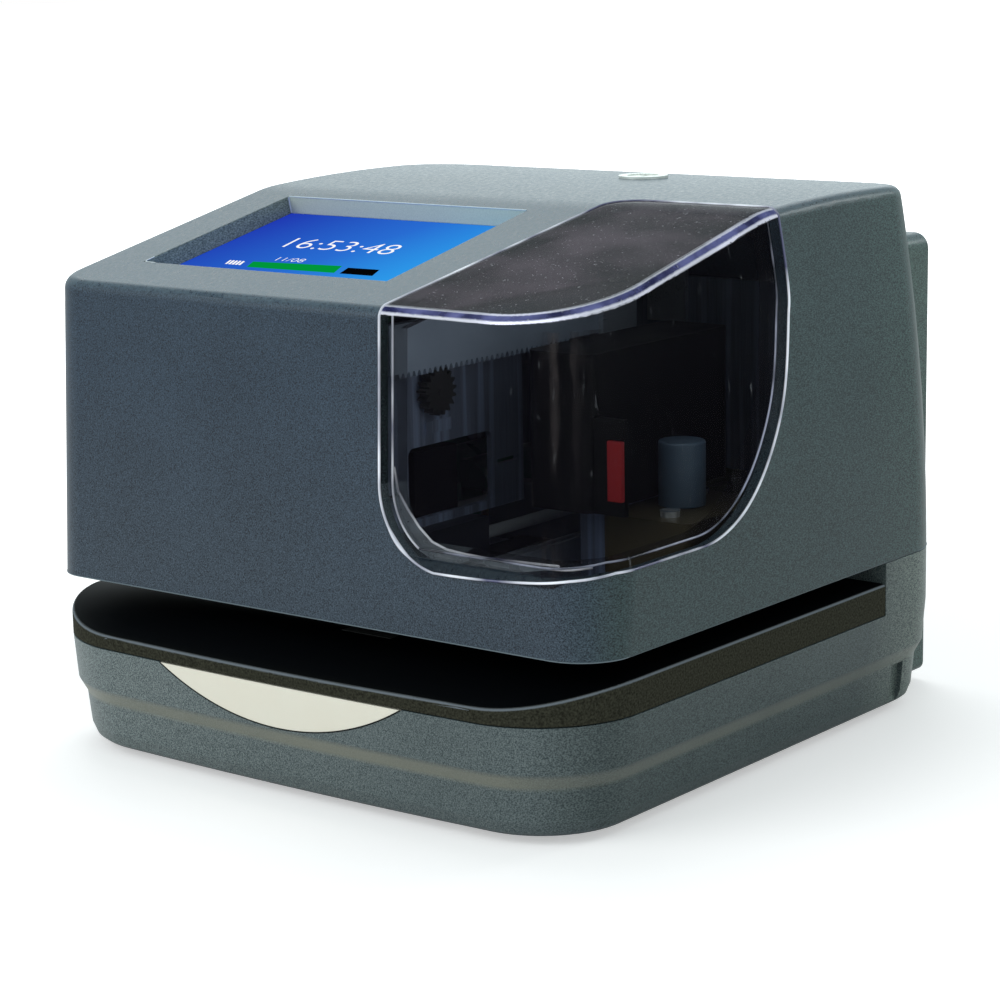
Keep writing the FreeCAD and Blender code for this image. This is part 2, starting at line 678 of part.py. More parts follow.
def ribbonGuides():
    half = ribbonWidth / 2 + 2
    return Part.makeCompound([box(ribbonX - half, ribbonX + half, y, y + 3.0, deckTop, ribbonZ)
                              for y in (ribbonFront - 0.5, ribbonRear - 2.7)])


def inkRibbon():
    half = ribbonWidth / 2
    return box(ribbonX - half, ribbonX + half, ribbonFront, ribbonRear, ribbonZ, ribbonZ + 0.3)


def toothedRack():
    """Teeth hang from a flat bar over the pinion."""
    x0, x1 = rackX
    bar = box(x0, x1, rackFront, rackRear, pitchZ + rackRoot, rackTopZ)
    half = 0.19 * toothPitch
    teeth = []
    first = math.ceil((rackFront - pinionY) / toothPitch) + 1
    last = math.ceil((carriageTravel + pitchRadius) / toothPitch) + 5
    for i in range(first, last):
        y = pinionY + (i + 0.5) * toothPitch
        wide, narrow = half + toothSlant * rackRoot, half - toothSlant * addendum
        high, low = pitchZ + rackRoot, pitchZ - addendum
        corners = [(y - wide, high), (y + wide, high), (y + narrow, low), (y - narrow, low), (y - wide, high)]
        face = Part.Face(Part.makePolygon([vec(x0, y, z) for y, z in corners]))
        teeth.append(face.extrude(vec(x1 - x0, 0, 0)))
    return fuseAll([bar] + teeth)


def rackBracket():
    x0, front = rackX[1], rackRear - bracketWidth
    upright = box(x0, x0 + bracketSheet, front, rackRear, deckTop, rackTopZ)
    return upright.fuse(box(x0, x0 + bracketFoot, front, rackRear, deckTop, deckTop + bracketSheet))


def driveHousing():
    x0, x1, y0, y1 = driveLeft, driveRight, driveFront, driveRear
    body = box(x0, x1, y0, y1, deckTop, driveTopZ)
    body = body.makeFillet(2.0, [e for e in body.Edges if abs(e.Length - (driveTopZ - deckTop)) < 0.01])
    body = body.cut(box(x0 + 2, x1 - 2, y0 + 2, y1 - 2, deckTop, driveTopZ - driveRoof))
    body = body.cut(rod((knobX, knobY, driveTopZ - 5), up, shaftRadius + seatGap, 10))
    for x, y in driveSpots:
        body = body.cut(rod((x, y, driveTopZ - 5), up, screwRadius + seatGap, 10))
    return body


def driveScrews():
    slot = 0.35
    heads = [screw(x, y, driveTopZ, 1, driveRoof) for x, y in driveSpots]
    return Part.makeCompound([head.cut(box(x - 2, x + 2, y - slot, y + slot, driveTopZ + 0.7, driveTopZ + 2))
                              for head, (x, y) in zip(heads, driveSpots)])


def cassetteHolder():
    return box(holderLeft, holderRight, holderFront, holderRear, deckTop, cassetteLow)


def ribbonCassette():
    body = box(cassetteLeft, cassetteRight, cassetteFront, cassetteRear, cassetteLow, cassetteHigh)
    body = body.makeFillet(2.5, [e for e in body.Edges if abs(e.Length - (cassetteHigh - cassetteLow)) < 0.01])
    return body.fuse(box(cassetteRight - 8, markerRight, markerY, markerY + 1.5, cassetteLow, cassetteLow + 22))


def printMarker():
    return box(markerRight - 3.8, markerRight, markerY - 1.2, markerY, cassetteLow + 3.6, cassetteLow + 17.2)


def leverBracket():
    pinStart = leverX - 4.2
    ears = [box(leverX + side * 3.2 - 1, leverX + side * 3.2 + 1, leverY - 3, leverY + 3, deckTop, leverZ + 3.2)
            for side in (-1, 1)]
    pin = rod((pinStart, leverY, leverZ), (1, 0, 0), leverPinRadius, 2 * (leverX - pinStart))
    return fuseAll(ears + [pin])


def paperSensor():
    x, y = leverX, leverY
    board = box(x - 8, x + 8, y + 4.2, y + 4.2 + boardThickness, deckTop, leverZ + 14)
    eyes = [box(x + dx - 1.4, x + dx + 1.4, y - 3, y + 4.2, leverZ + 5, leverZ + 11) for dx in (-3.6, 3.6)]
    return fuseAll([board.cut(box(x - leverGap, x + leverGap, y, y + 12, 0, leverZ + 2))] + eyes)


def mainBoard():
    left, right, front, rear = mainBoardSpan
    top = mainBoardZ + boardThickness
    parts = [box(left, right, front, rear, mainBoardZ, top), box(-52, -38, -30, -16, top, top + 1.6),
             box(-32, -22, -40, -30, top, top + 1.2), box(-66, -60, -50, -10, top, top + 6),
             box(-30, -16, -5, 3, top, top + 5)]
    parts += [rod((-58 + 9 * i, 8, top), up, 3.2, 9) for i in range(3)]
    board = fuseAll(parts)
    for x, y in boardSpots:
        board = board.cut(rod((x, y, mainBoardZ - 1), up, screwRadius + looseGap, 5))
    return board


def boardStandoffs():
    posts = [rod((x, y, deckTop), up, 2.5, standoffHeight) for x, y in boardSpots]
    return Part.makeCompound([post.cut(rod((x, y, deckTop + 1), up, screwRadius + seatGap, standoffHeight))
                              for post, (x, y) in zip(posts, boardSpots)])


def boardScrews():
    top = mainBoardZ + boardThickness
    return Part.makeCompound([screw(x, y, top, 1, boardThickness + 3) for x, y in boardSpots])


def backupBattery():
    left, right, front, rear = batterySpan
    cell = (right - left) / 6 - 0.2
    tray = box(left, right, front, rear, deckTop, deckTop + 2.0)
    spots = [left + cell + 0.1 + (2 * cell + 0.3) * i for i in range(3)]
    cells = [rod((x, front, deckTop + cell), (0, 1, 0), cell, rear - front) for x in spots]
    return fuseAll([tray] + cells)


def buzzer():
    return ring((22, 40, deckTop), up, 6.0, 1.2, 8.0)


def powerBoard():
    left, right, front, rear = powerSpan
    top = powerBoardZ + boardThickness
    parts = [box(left, right, front, rear, powerBoardZ, top), box(-40, -24, -16, 0, top, powerBoardZ + 12),
             rod((-14, 12, top), up, 5, 11), box(-50, -44, 4, 26, top, powerBoardZ + 9)]
    return fuseAll(parts)


def powerStandoffs():
    left, right, front, rear = powerSpan
    return Part.makeCompound([rod((x, y, plateTopZ), up, 2.2, powerBoardZ - plateTopZ)
                              for x in (left + 3, right - 3) for y in (front + 3, rear - 3)])


# Moving pieces of the print unit

def carriagePlate():
    x0, x1 = plateX, plateX + plateThickness
    plate = box(x0, x1, plateFront, plateRear, blockTop, plateHigh)
    opening = box(x0 - 1, x1 + 1, *openingSpan)
    opening = opening.makeFillet(1.8, [e for e in opening.Edges if abs(e.Length - (x1 - x0 + 2)) < 0.01])
    slots = [box(x0 - 1, x1 + 1, -66.5, -60.5, 68.0, 69.2), box(x0 - 1, x1 + 1, -26.0, -18.0, 70.0, 71.2)]
    hub = rod((x0 - 1, pinionY, pinionZ), (1, 0, 0), motorHubRadius + 0.1, 5)
    plate = plate.cut(fuseAll([opening] + slots)).cut(hub)
    return plate.fuse(box(x1, x1 + 0.5, -52.5, -43.0, 81.2, 84.0))


def carriageBlock():
    x0, x1 = sideShaftX - 4, mainShaftX + 3
    block = box(x0, x1, blockFront, blockRear, blockLow, blockTop)
    block = block.cut(box(headLeft - seam, headRight + seam, headFront - seam, headRear + seam,
                          blockLow - 1, blockTop + 1))
    length = blockRear - blockFront + 2
    for x in (sideShaftX, mainShaftX):
        block = block.cut(rod((x, blockFront - 1, shaftZ), (0, 1, 0), shaftRadius + bushWall, length))
    return block


def carriageBushes():
    outer, inner = shaftRadius + bushWall, shaftRadius + seatGap
    return Part.makeCompound([ring((x, y, shaftZ), (0, 1, 0), outer, inner, bushLength)
                              for x in (sideShaftX, mainShaftX) for y in (blockFront, blockRear - bushLength)])


def printHead():
    body = box(headLeft, headRight, headFront, headRear, headLow, headTop)
    flange = box(headLeft, plateX, headFront, headRear, blockTop + seam, headTop)
    nose = box(headLeft + 1.5, headRight - 2.2, headFront + 3.7, headRear - 3.7, ribbonZ + 0.8, headLow + 2)
    fins = [box(headLeft - 0.6, headLeft, headFront, headRear, z, z + 1.2) for z in
            [headTop - 15.0 + 2.5 * i for i in range(6)]]
    return fuseAll([body, flange, nose] + fins)


def carriageMotor():
    can = rod((plateX - motorLength, pinionY, pinionZ), (1, 0, 0), motorRadius, motorLength)
    can = can.fuse(rod((plateX, pinionY, pinionZ), (1, 0, 0), motorHubRadius, plateThickness))
    return can.cut(rod((plateX - 8, pinionY, pinionZ), (1, 0, 0), pinionShaftRadius + seatGap, 20))


def pinion():
    """Involute-like teeth: each flank leans in from the pitch circle."""
    root, tip = pitchRadius - rackRoot, pitchRadius + addendum
    x0, x1 = rackX
    # Share of the tooth pitch at each radius, from one flank to the other
    flanks = ((root, -0.30), (pitchRadius, -0.205), (tip, -0.10),
              (tip, 0.10), (pitchRadius, 0.205), (root, 0.30))
    points = []
    for i in range(pinionTeeth):
        middle = 2 * math.pi * i / pinionTeeth + math.pi / 2
        for radius, share in flanks:
            angle = middle + share * toothPitch / radius
            points.append(vec(x0, pinionY + radius * math.cos(angle), pinionZ + radius * math.sin(angle)))
    gear = Part.Face(Part.makePolygon(points + [points[0]])).extrude(vec(x1 - x0, 0, 0))
    start = plateX - 7.5
    return gear.fuse(rod((start, pinionY, pinionZ), (1, 0, 0), pinionShaftRadius, x1 + 0.5 - start))


def ribbonKnob():
    base = driveTopZ + seam
    knob = rod((knobX, knobY, base), up, knobRadius, knobHeight)
    knob = knob.makeFillet(0.6, [e for e in knob.Edges if e.BoundBox.ZMin > base + knobHeight - 0.01])
    stem = rod((knobX, knobY, driveTopZ - driveRoof + 0.1), up, shaftRadius, driveRoof + 1)
    return knob.fuse(stem)


def paperLever():
    x0, x1 = leverX - leverHalf, leverX + leverHalf
    low = leverZ - leverReach + leverTip
    hub = rod((x0, leverY, leverZ), (1, 0, 0), 2 * leverTip, x1 - x0)
    arm = box(x0, x1, leverY - leverTip, leverY + leverTip, low, leverZ + 9.5)
    tip = rod((x0, leverY, low), (1, 0, 0), leverTip, x1 - x0)
    return fuseAll([hub, arm, tip]).cut(rod((x0 - 1, leverY, leverZ), (1, 0, 0), leverPinRadius + seatGap, 6))


nodes = {
    "base_shell": baseShell, "bottom_plate": bottomPlate, "bottom_screws": bottomScrews, "rubber_feet": rubberFeet,
    "paper_table": paperTable, "table_screws": tableScrews, "platen_pad": platenPad,
    "indicator_lens": indicatorLens, "indicator_board": indicatorBoard,
    "rear_lower_cover": rearLowerCover, "power_jack": powerJack, "power_board": powerBoard,
    "power_standoffs": powerStandoffs, "column_left": lambda: column(-1), "column_right": lambda: column(1),
    "upper_chassis": upperChassis, "chassis_screws": chassisScrews, "throat_plate": throatPlate,
    "lock_keeper": lockKeeper, "shaft_supports": shaftSupports, "main_guide_shaft": lambda: shaft(mainShaftX),
    "side_guide_shaft": lambda: shaft(sideShaftX), "ribbon_rail": ribbonRail, "ribbon_guides": ribbonGuides,
    "ink_ribbon": inkRibbon, "toothed_rack": toothedRack, "rack_bracket": rackBracket,
    "ribbon_drive_housing": driveHousing, "drive_screws": driveScrews, "cassette_holder": cassetteHolder,
    "ribbon_cassette": ribbonCassette, "print_marker": printMarker, "lever_bracket": leverBracket,
    "paper_sensor": paperSensor, "main_board": mainBoard, "board_standoffs": boardStandoffs,
    "board_screws": boardScrews, "backup_battery": backupBattery, "buzzer": buzzer,
    "upper_cover": upperCover, "window": window, "lcd_panel": lcdPanel, "lcd_board": lcdBoard,
    "lcd_screws": lcdScrews, "lock_body": lockBody, "lock_nut": lockNut, "rear_upper_cover": rearUpperCover,
    "lock_plug": lockPlug, "lock_cam": lockCam,
    "carriage_plate": carriagePlate, "carriage_block": carriageBlock, "carriage_bushes": carriageBushes,
    "print_head": printHead, "carriage_motor": carriageMotor, "motor_pinion": pinion,
    "ribbon_knob": ribbonKnob, "paper_lever": paperLever,
}

os.makedirs("parts", exist_ok=True)
for name, make in nodes.items():
    shape = make()
    shape.exportStep("parts/" + name + ".step")
    state = "valid" if shape.isValid() else "INVALID"
    print(name, len(shape.Solids), "solids", round(shape.Volume), "mm3", state)
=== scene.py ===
import json
import math

import bmesh
import bpy
from mathutils import Matrix, Vector


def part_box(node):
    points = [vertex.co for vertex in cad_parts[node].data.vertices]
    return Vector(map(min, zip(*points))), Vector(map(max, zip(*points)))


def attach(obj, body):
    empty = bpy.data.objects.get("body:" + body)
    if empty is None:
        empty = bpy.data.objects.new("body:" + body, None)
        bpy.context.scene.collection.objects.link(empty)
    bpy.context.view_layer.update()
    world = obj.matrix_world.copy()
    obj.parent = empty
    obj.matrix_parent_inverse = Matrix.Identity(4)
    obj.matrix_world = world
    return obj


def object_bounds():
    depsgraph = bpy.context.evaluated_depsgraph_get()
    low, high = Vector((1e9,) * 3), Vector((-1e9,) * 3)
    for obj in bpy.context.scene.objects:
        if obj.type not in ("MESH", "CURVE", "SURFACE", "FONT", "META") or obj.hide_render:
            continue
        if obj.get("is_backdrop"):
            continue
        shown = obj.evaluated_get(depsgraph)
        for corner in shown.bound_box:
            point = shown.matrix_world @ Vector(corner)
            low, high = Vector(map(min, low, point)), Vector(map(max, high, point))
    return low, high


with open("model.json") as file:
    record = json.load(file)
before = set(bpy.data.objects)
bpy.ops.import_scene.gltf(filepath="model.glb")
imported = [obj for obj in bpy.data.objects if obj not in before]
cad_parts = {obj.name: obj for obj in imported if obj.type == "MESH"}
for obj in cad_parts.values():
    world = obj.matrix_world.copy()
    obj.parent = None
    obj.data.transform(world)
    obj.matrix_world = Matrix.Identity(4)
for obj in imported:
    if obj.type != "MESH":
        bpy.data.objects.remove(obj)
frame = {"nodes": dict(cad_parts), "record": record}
nodes = frame["nodes"]
cadLow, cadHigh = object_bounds()
scene = bpy.context.scene
scene.view_settings.view_transform = "Standard"
print("frame loaded:", len(nodes), "nodes")

mm = 0.001


def rgb(red, green, blue):
    # colour written as it looks on a screen, 0 to 255
    def linear(v):
        v = v / 255
        return v / 12.92 if v <= 0.04045 else ((v + 0.055) / 1.055) ** 2.4
    return (linear(red), linear(green), linear(blue), 1.0)


class Value:
    # a socket that sums can be written with
    def __init__(self, paint, socket):
        self.paint, self.socket = paint, socket

    def sum(self, operation, first, second=None):
        return self.paint.node("ShaderNodeMath", {"operation": operation}, {0: first, 1: second})

    def __add__(self, other):
        return self.sum("ADD", self, other)

    def __radd__(self, other):
        return self.sum("ADD", other, self)

    def __sub__(self, other):
        return self.sum("SUBTRACT", self, other)

    def __rsub__(self, other):
        return self.sum("SUBTRACT", other, self)

    def __mul__(self, other):
        return self.sum("MULTIPLY", self, other)

    def __rmul__(self, other):
        return self.sum("MULTIPLY", other, self)

    def __truediv__(self, other):
        return self.sum("DIVIDE", self, other)

    def __gt__(self, other):
        return self.sum("GREATER_THAN", self, other)

    def __lt__(self, other):
        return self.sum("LESS_THAN", self, other)

    def __abs__(self):
        return self.sum("ABSOLUTE", self)


class Paint:
    # one material, with its nodes made through one call
    def __init__(self, name):
        self.material = bpy.data.materials.new(name)
        self.material.use_nodes = True
        self.tree = self.material.node_tree
        self.shader = self.tree.nodes["Principled BSDF"]
        self.coords = self.node("ShaderNodeTexCoord", out="Object")

    def node(self, kind, settings=None, sockets=None, out=0):
        made = self.tree.nodes.new(kind)
        for key, value in (settings or {}).items():
            if key == "stops":
                ramp = made.color_ramp
                while len(ramp.elements) < len(value):
                    ramp.elements.new(0.5)
                for element, (place, colour) in zip(ramp.elements, value):
                    element.position, element.color = place, colour
            else:
                setattr(made, key, value)
        for key, value in (sockets or {}).items():
            self.feed(made.inputs[key], value)
        return Value(self, made.outputs[out])

    def feed(self, socket, value):
        if isinstance(value, Value):
            self.tree.links.new(value.socket, socket)
        elif value is not None:
            socket.default_value = value

    def set(self, **sockets):
        # colour and roughness and so on of the main shader
        for key, value in sockets.items():
            words = {"baseColor": "Base Color", "coat": "Coat Weight", "coatRoughness": "Coat Roughness",
                     "emission": "Emission Color", "glow": "Emission Strength",
                     "specular": "Specular IOR Level"}
            self.feed(self.shader.inputs[words.get(key, key.capitalize())], value)
        return self.material

    def mix(self, factor, first, second):
        return self.node("ShaderNodeMix", {"data_type": "RGBA"}, {0: factor, 6: first, 7: second}, 2)

    def noise(self, size, detail=2.0, where=None):
        # size is the width of a patch in metres
        sockets = {"Vector": where or self.coords, "Scale": 1 / size, "Detail": detail}
        return self.node("ShaderNodeTexNoise", None, sockets, "Fac")

    def place(self, axis):
        return self.node("ShaderNodeSeparateXYZ", None, {0: self.coords}, axis)

    def facing(self, axis):
        normal = self.node("ShaderNodeTexCoord", out="Normal")
        return self.node("ShaderNodeSeparateXYZ", None, {0: normal}, axis)

    def either(self, first, second):
        return self.node("ShaderNodeMath", {"operation": "MAXIMUM"}, {0: first, 1: second})

    def stretched(self, x, y, z):
        return self.node("ShaderNodeVectorMath", {"operation": "MULTIPLY"}, {0: self.coords, 1: (x, y, z)})

    def turned(self, where):
        # askew to every face, because a flat face along the noise's cells shows bands
        return self.node("ShaderNodeVectorRotate", {"rotation_type": "EULER_XYZ"},
                         {"Vector": where, "Rotation": (0.61, 0.42, 0.93)})

    def ramp(self, value, low, high):
        return self.node("ShaderNodeMapRange", {"clamp": True},
                         {"Value": value, "From Min": low, "From Max": high})

    def bump(self, height, depth, normal=None):
        sockets = {"Height": height, "Distance": depth, "Strength": 1.0, "Normal": normal}
        return self.node("ShaderNodeBump", None, sockets, "Normal")

    def softEdge(self, radius):
        return self.node("ShaderNodeBevel", {"samples": 4}, {"Radius": radius}, "Normal")


caseLook = {"colour": rgb(9, 20, 34), "pale": rgb(66, 84, 103), "flank": rgb(10, 26, 22),
            "flankPale": rgb(74, 98, 88), "flankFrom": (72 * mm, 83 * mm), "rearLightPale": rgb(96, 124, 114),
            "rearLightFrom": (36 * mm, 80 * mm), "rearLightShare": 0.5, "footLightPale": rgb(108, 117, 122),
            "footLightFrom": (-92 * mm, -48 * mm), "footLightShare": 0.22, "topLightTint": rgb(88, 108, 118),
            "roughness": 0.38, "specular": 0.32, "coat": 0.12, "coatRoughness": 0.2, "edge": 0.4 * mm,
            "grain": 0.3 * mm, "grainDepth": 0.035 * mm, "coarse": 0.75 * mm, "cloud": 30 * mm}
# painted light on the screen recess: a pale far wall and a lighter left wall
recessLightLook = {"farAt": -3.2 * mm, "farLitDark": rgb(186, 194, 176), "farLitPale": rgb(226, 232, 214),
              "leftAt": -65.1 * mm, "leftLitDark": rgb(88, 98, 88), "leftLitPale": rgb(160, 172, 158),
              "near": 1.2 * mm, "rightEnd": 13 * mm, "bottom": 108 * mm}
# painted light on the base's chamfer band: a paler brownish stripe, weaker on the flank
chamferLightLook = {"colour": rgb(146, 144, 128), "low": (12.6 * mm, 13.8 * mm), "high": (15.8 * mm, 17.2 * mm),
              "share": 0.46, "lessOnFlank": 0.36}
# painted light: the base is a lighter copy of the case plastic, with stronger painted light towards the rear,
# the foot and the left
baseLook = dict(caseLook, colour=rgb(50, 62, 66), pale=rgb(108, 120, 124), flank=rgb(18, 30, 28),
                flankPale=rgb(76, 88, 84), rearLightPale=rgb(166, 178, 164), rearLightShare=0.8,
                footLightPale=rgb(150, 154, 144), leftLitPale=rgb(158, 168, 166), leftLightFrom=(-40 * mm, 80 * mm),
                leftLightShare=0.7)
rearLook = dict(caseLook, colour=rgb(30, 42, 48), pale=rgb(80, 96, 104), flank=rgb(42, 60, 50),
                flankPale=rgb(98, 118, 106))


def casePlastic(name, look, recessLight=None, chamferLight=None):
    # fine-grained matte plastic with painted light: a greener painted reflection on the flank, painted light
    # that makes it paler towards the rear, the foot and (on the base) the left, a paler painted top light on
    # upward faces, and painted light on the recess walls
    paint = Paint(name)
    skewed = paint.turned(paint.stretched(1, 0.5, 1))
    grain = paint.noise(look["grain"], 3.0, skewed)
    coarse = paint.ramp(paint.noise(look["coarse"], 2.0, skewed), 0.3, 0.7)
    cloud = paint.noise(look["cloud"], 2.0)
    speck = paint.ramp(grain, 0.34, 0.66)
    x, y, z = (paint.place(axis) for axis in "XYZ")
    nx, ny, nz = (paint.facing(axis) for axis in "XYZ")
    upward = paint.ramp(nz, 0.3, 0.7)
    colour = paint.mix(speck * 0.9 + (cloud - 0.5) * 0.3, look["colour"], look["pale"])
    # painted reflection: the flank, on the right, is tinted greener
    flank = paint.either(paint.ramp(x, *look["flankFrom"]) * 0.4, paint.ramp(nx, 0.5, 0.95) * 0.6)
    green = paint.mix(speck * 0.8 + (cloud - 0.5) * 0.3, look["flank"], look["flankPale"])
    colour = paint.mix(flank, colour, green)
    # painted light: side faces paler towards the rear
    rearLight = paint.ramp(y, *look["rearLightFrom"]) * paint.ramp(nx, 0.2, 0.7)
    colour = paint.mix(rearLight * look["rearLightShare"], colour, paint.mix(speck, look["colour"], look["rearLightPale"]))
    # painted light: front faces paler towards the foot
    footLight = paint.ramp(0 - z, *look["footLightFrom"]) * paint.ramp(0 - ny, 0.4, 0.9)
    colour = paint.mix(footLight * look["footLightShare"], colour, paint.mix(speck, look["colour"], look["footLightPale"]))
    # painted light: front faces paler towards the left, on the base only
    if "leftLitPale" in look:
        leftLight = paint.ramp(0 - x, *look["leftLightFrom"]) * paint.ramp(0 - ny, 0.1, 0.6)
        leftLitTint = paint.mix(speck, look["colour"], look["leftLitPale"])
        colour = paint.mix(leftLight * look["leftLightShare"], colour, leftLitTint)
    if chamferLight:
        # painted light along the chamfer band
        band = paint.ramp(z, *chamferLight["low"]) * (1 - paint.ramp(z, *chamferLight["high"]))
        bandLight = chamferLight["share"] + cloud * 0.35 - paint.ramp(nx, 0.2, 0.8) * chamferLight["lessOnFlank"]
        colour = paint.mix(band * bandLight, colour, chamferLight["colour"])
    if recessLight:
        # painted light: the recess's far wall and left wall painted paler
        far = (abs(y - recessLight["farAt"]) < recessLight["near"]) * (ny < -0.8) * (x < recessLight["rightEnd"])
        colour = paint.mix(far, colour, paint.mix(grain, recessLight["farLitDark"], recessLight["farLitPale"]))
        left = (abs(x - recessLight["leftAt"]) < recessLight["near"]) * (nx > 0.8) * (z > recessLight["bottom"])
        colour = paint.mix(left, colour, paint.mix(speck, recessLight["leftLitDark"], recessLight["leftLitPale"]))
    # painted top light: upward faces mottled with coarse grain towards a paler tint
    colour = paint.mix(upward * coarse * 0.5, colour, look["topLightTint"])
    rough = look["roughness"] + (grain - 0.5) * 0.4 + upward * (coarse - 0.5) * 0.22
    coat = look["coat"] + upward * (coarse - 0.5) * 0.24
    normal = paint.bump(grain, look["grainDepth"], paint.softEdge(look["edge"]))
    return paint.set(baseColor=colour, roughness=rough, specular=look["specular"], coat=coat,
                     coatRoughness=look["coatRoughness"], normal=normal)


tableLook = {"colour": rgb(4, 5, 7), "side": rgb(36, 35, 29), "sidePale": rgb(76, 75, 63),
             "edgeHighlight": rgb(124, 130, 138), "roughness": 0.42, "grain": 0.5 * mm, "cloud": 18 * mm}


def tablePlastic():
    # satin top, grained band and a painted highlight along the top edge
    paint = Paint("tableBlack")
    look = tableLook
    facing = paint.facing("Z")
    upward = paint.ramp(facing, 0.75, 0.95)
    # painted highlight along the rounded top edge
    edgeHighlight = paint.ramp(facing, 0.28, 0.5) * (1 - paint.ramp(facing, 0.7, 0.9))
    fine = paint.noise(look["grain"], 2.0)
    colour = paint.mix(paint.ramp(fine, 0.3, 0.7) * 0.7, look["side"], look["sidePale"])
    colour = paint.mix(upward, colour, look["colour"])
    colour = paint.mix(edgeHighlight * 0.8, colour, look["edgeHighlight"])
    rough = look["roughness"] + (1 - upward) * 0.2 + paint.noise(look["cloud"], 4.0) * 0.12
    return paint.set(baseColor=colour, roughness=rough, specular=0.02, normal=paint.bump(fine, 0.008 * mm))


def mouldedPlastic(name, colour, pale, roughness=0.45, grain=0.3 * mm, specular=0.4):
    paint = Paint(name)
    fine, cloud = paint.noise(grain, 3.0), paint.noise(9 * mm, 3.0)
    mixed = paint.mix(fine * 0.35 + cloud * 0.4, colour, pale)
    return paint.set(baseColor=mixed, roughness=roughness + (cloud - 0.5) * 0.2, specular=specular,
                     normal=paint.bump(fine, 0.006 * mm))


def sheetMetal(name, colour, pale, roughness=0.32, grainAlong="y", metallic=1.0, bands=None):
    # plated sheet with rolling marks along one axis
    paint = Paint(name)
    stretch = {"x": (0.02, 1, 1), "y": (1, 0.02, 1), "z": (1, 1, 0.02)}[grainAlong]
    lines = paint.noise(0.35 * mm, 3.0, paint.stretched(*stretch))
    cloud = paint.noise(14 * mm, 4.0)
    mixed = paint.mix(lines * 0.5 + cloud * 0.4, colour, pale)
    if bands:
        broad = paint.ramp(paint.noise(2.6 * mm, 3.0, paint.stretched(*stretch)), 0.5, 0.7)
        mixed = paint.mix(broad * 0.8, mixed, bands)
    rough = roughness + (lines - 0.5) * 0.18 + (cloud - 0.5) * 0.2
    return paint.set(baseColor=mixed, metallic=metallic, roughness=rough,
                     normal=paint.bump(lines, 0.004 * mm))


windowLook = {"smoke": rgb(22, 20, 26), "alpha": 0.24, "top": rgb(18, 14, 24),
              "topReflectionPale": rgb(74, 62, 72), "topAlpha": 0.74, "topFrom": 105 * mm,
              "rim": rgb(40, 42, 92), "rimLight": rgb(122, 124, 184),
              "rimPale": rgb(250, 248, 255), "rimGlow": rgb(150, 148, 176), "rimFrom": 109 * mm,
              "returnPale": rgb(150, 158, 166), "returnFront": -64.5 * mm, "returnTop": 74 * mm,
              "returnRight": 45 * mm, "sailSlope": 1.02, "sailFront": 75.5 * mm, "sailLeft": 35.9 * mm,
              "streakReflection": rgb(66, 60, 60), "streakLeft": (63 * mm, 67 * mm), "streakRight": (71 * mm, 76 * mm),
              "streakFront": -55 * mm, "streakTop": 110 * mm, "dust": rgb(214, 214, 220),
              "scratchFront": -72 * mm}


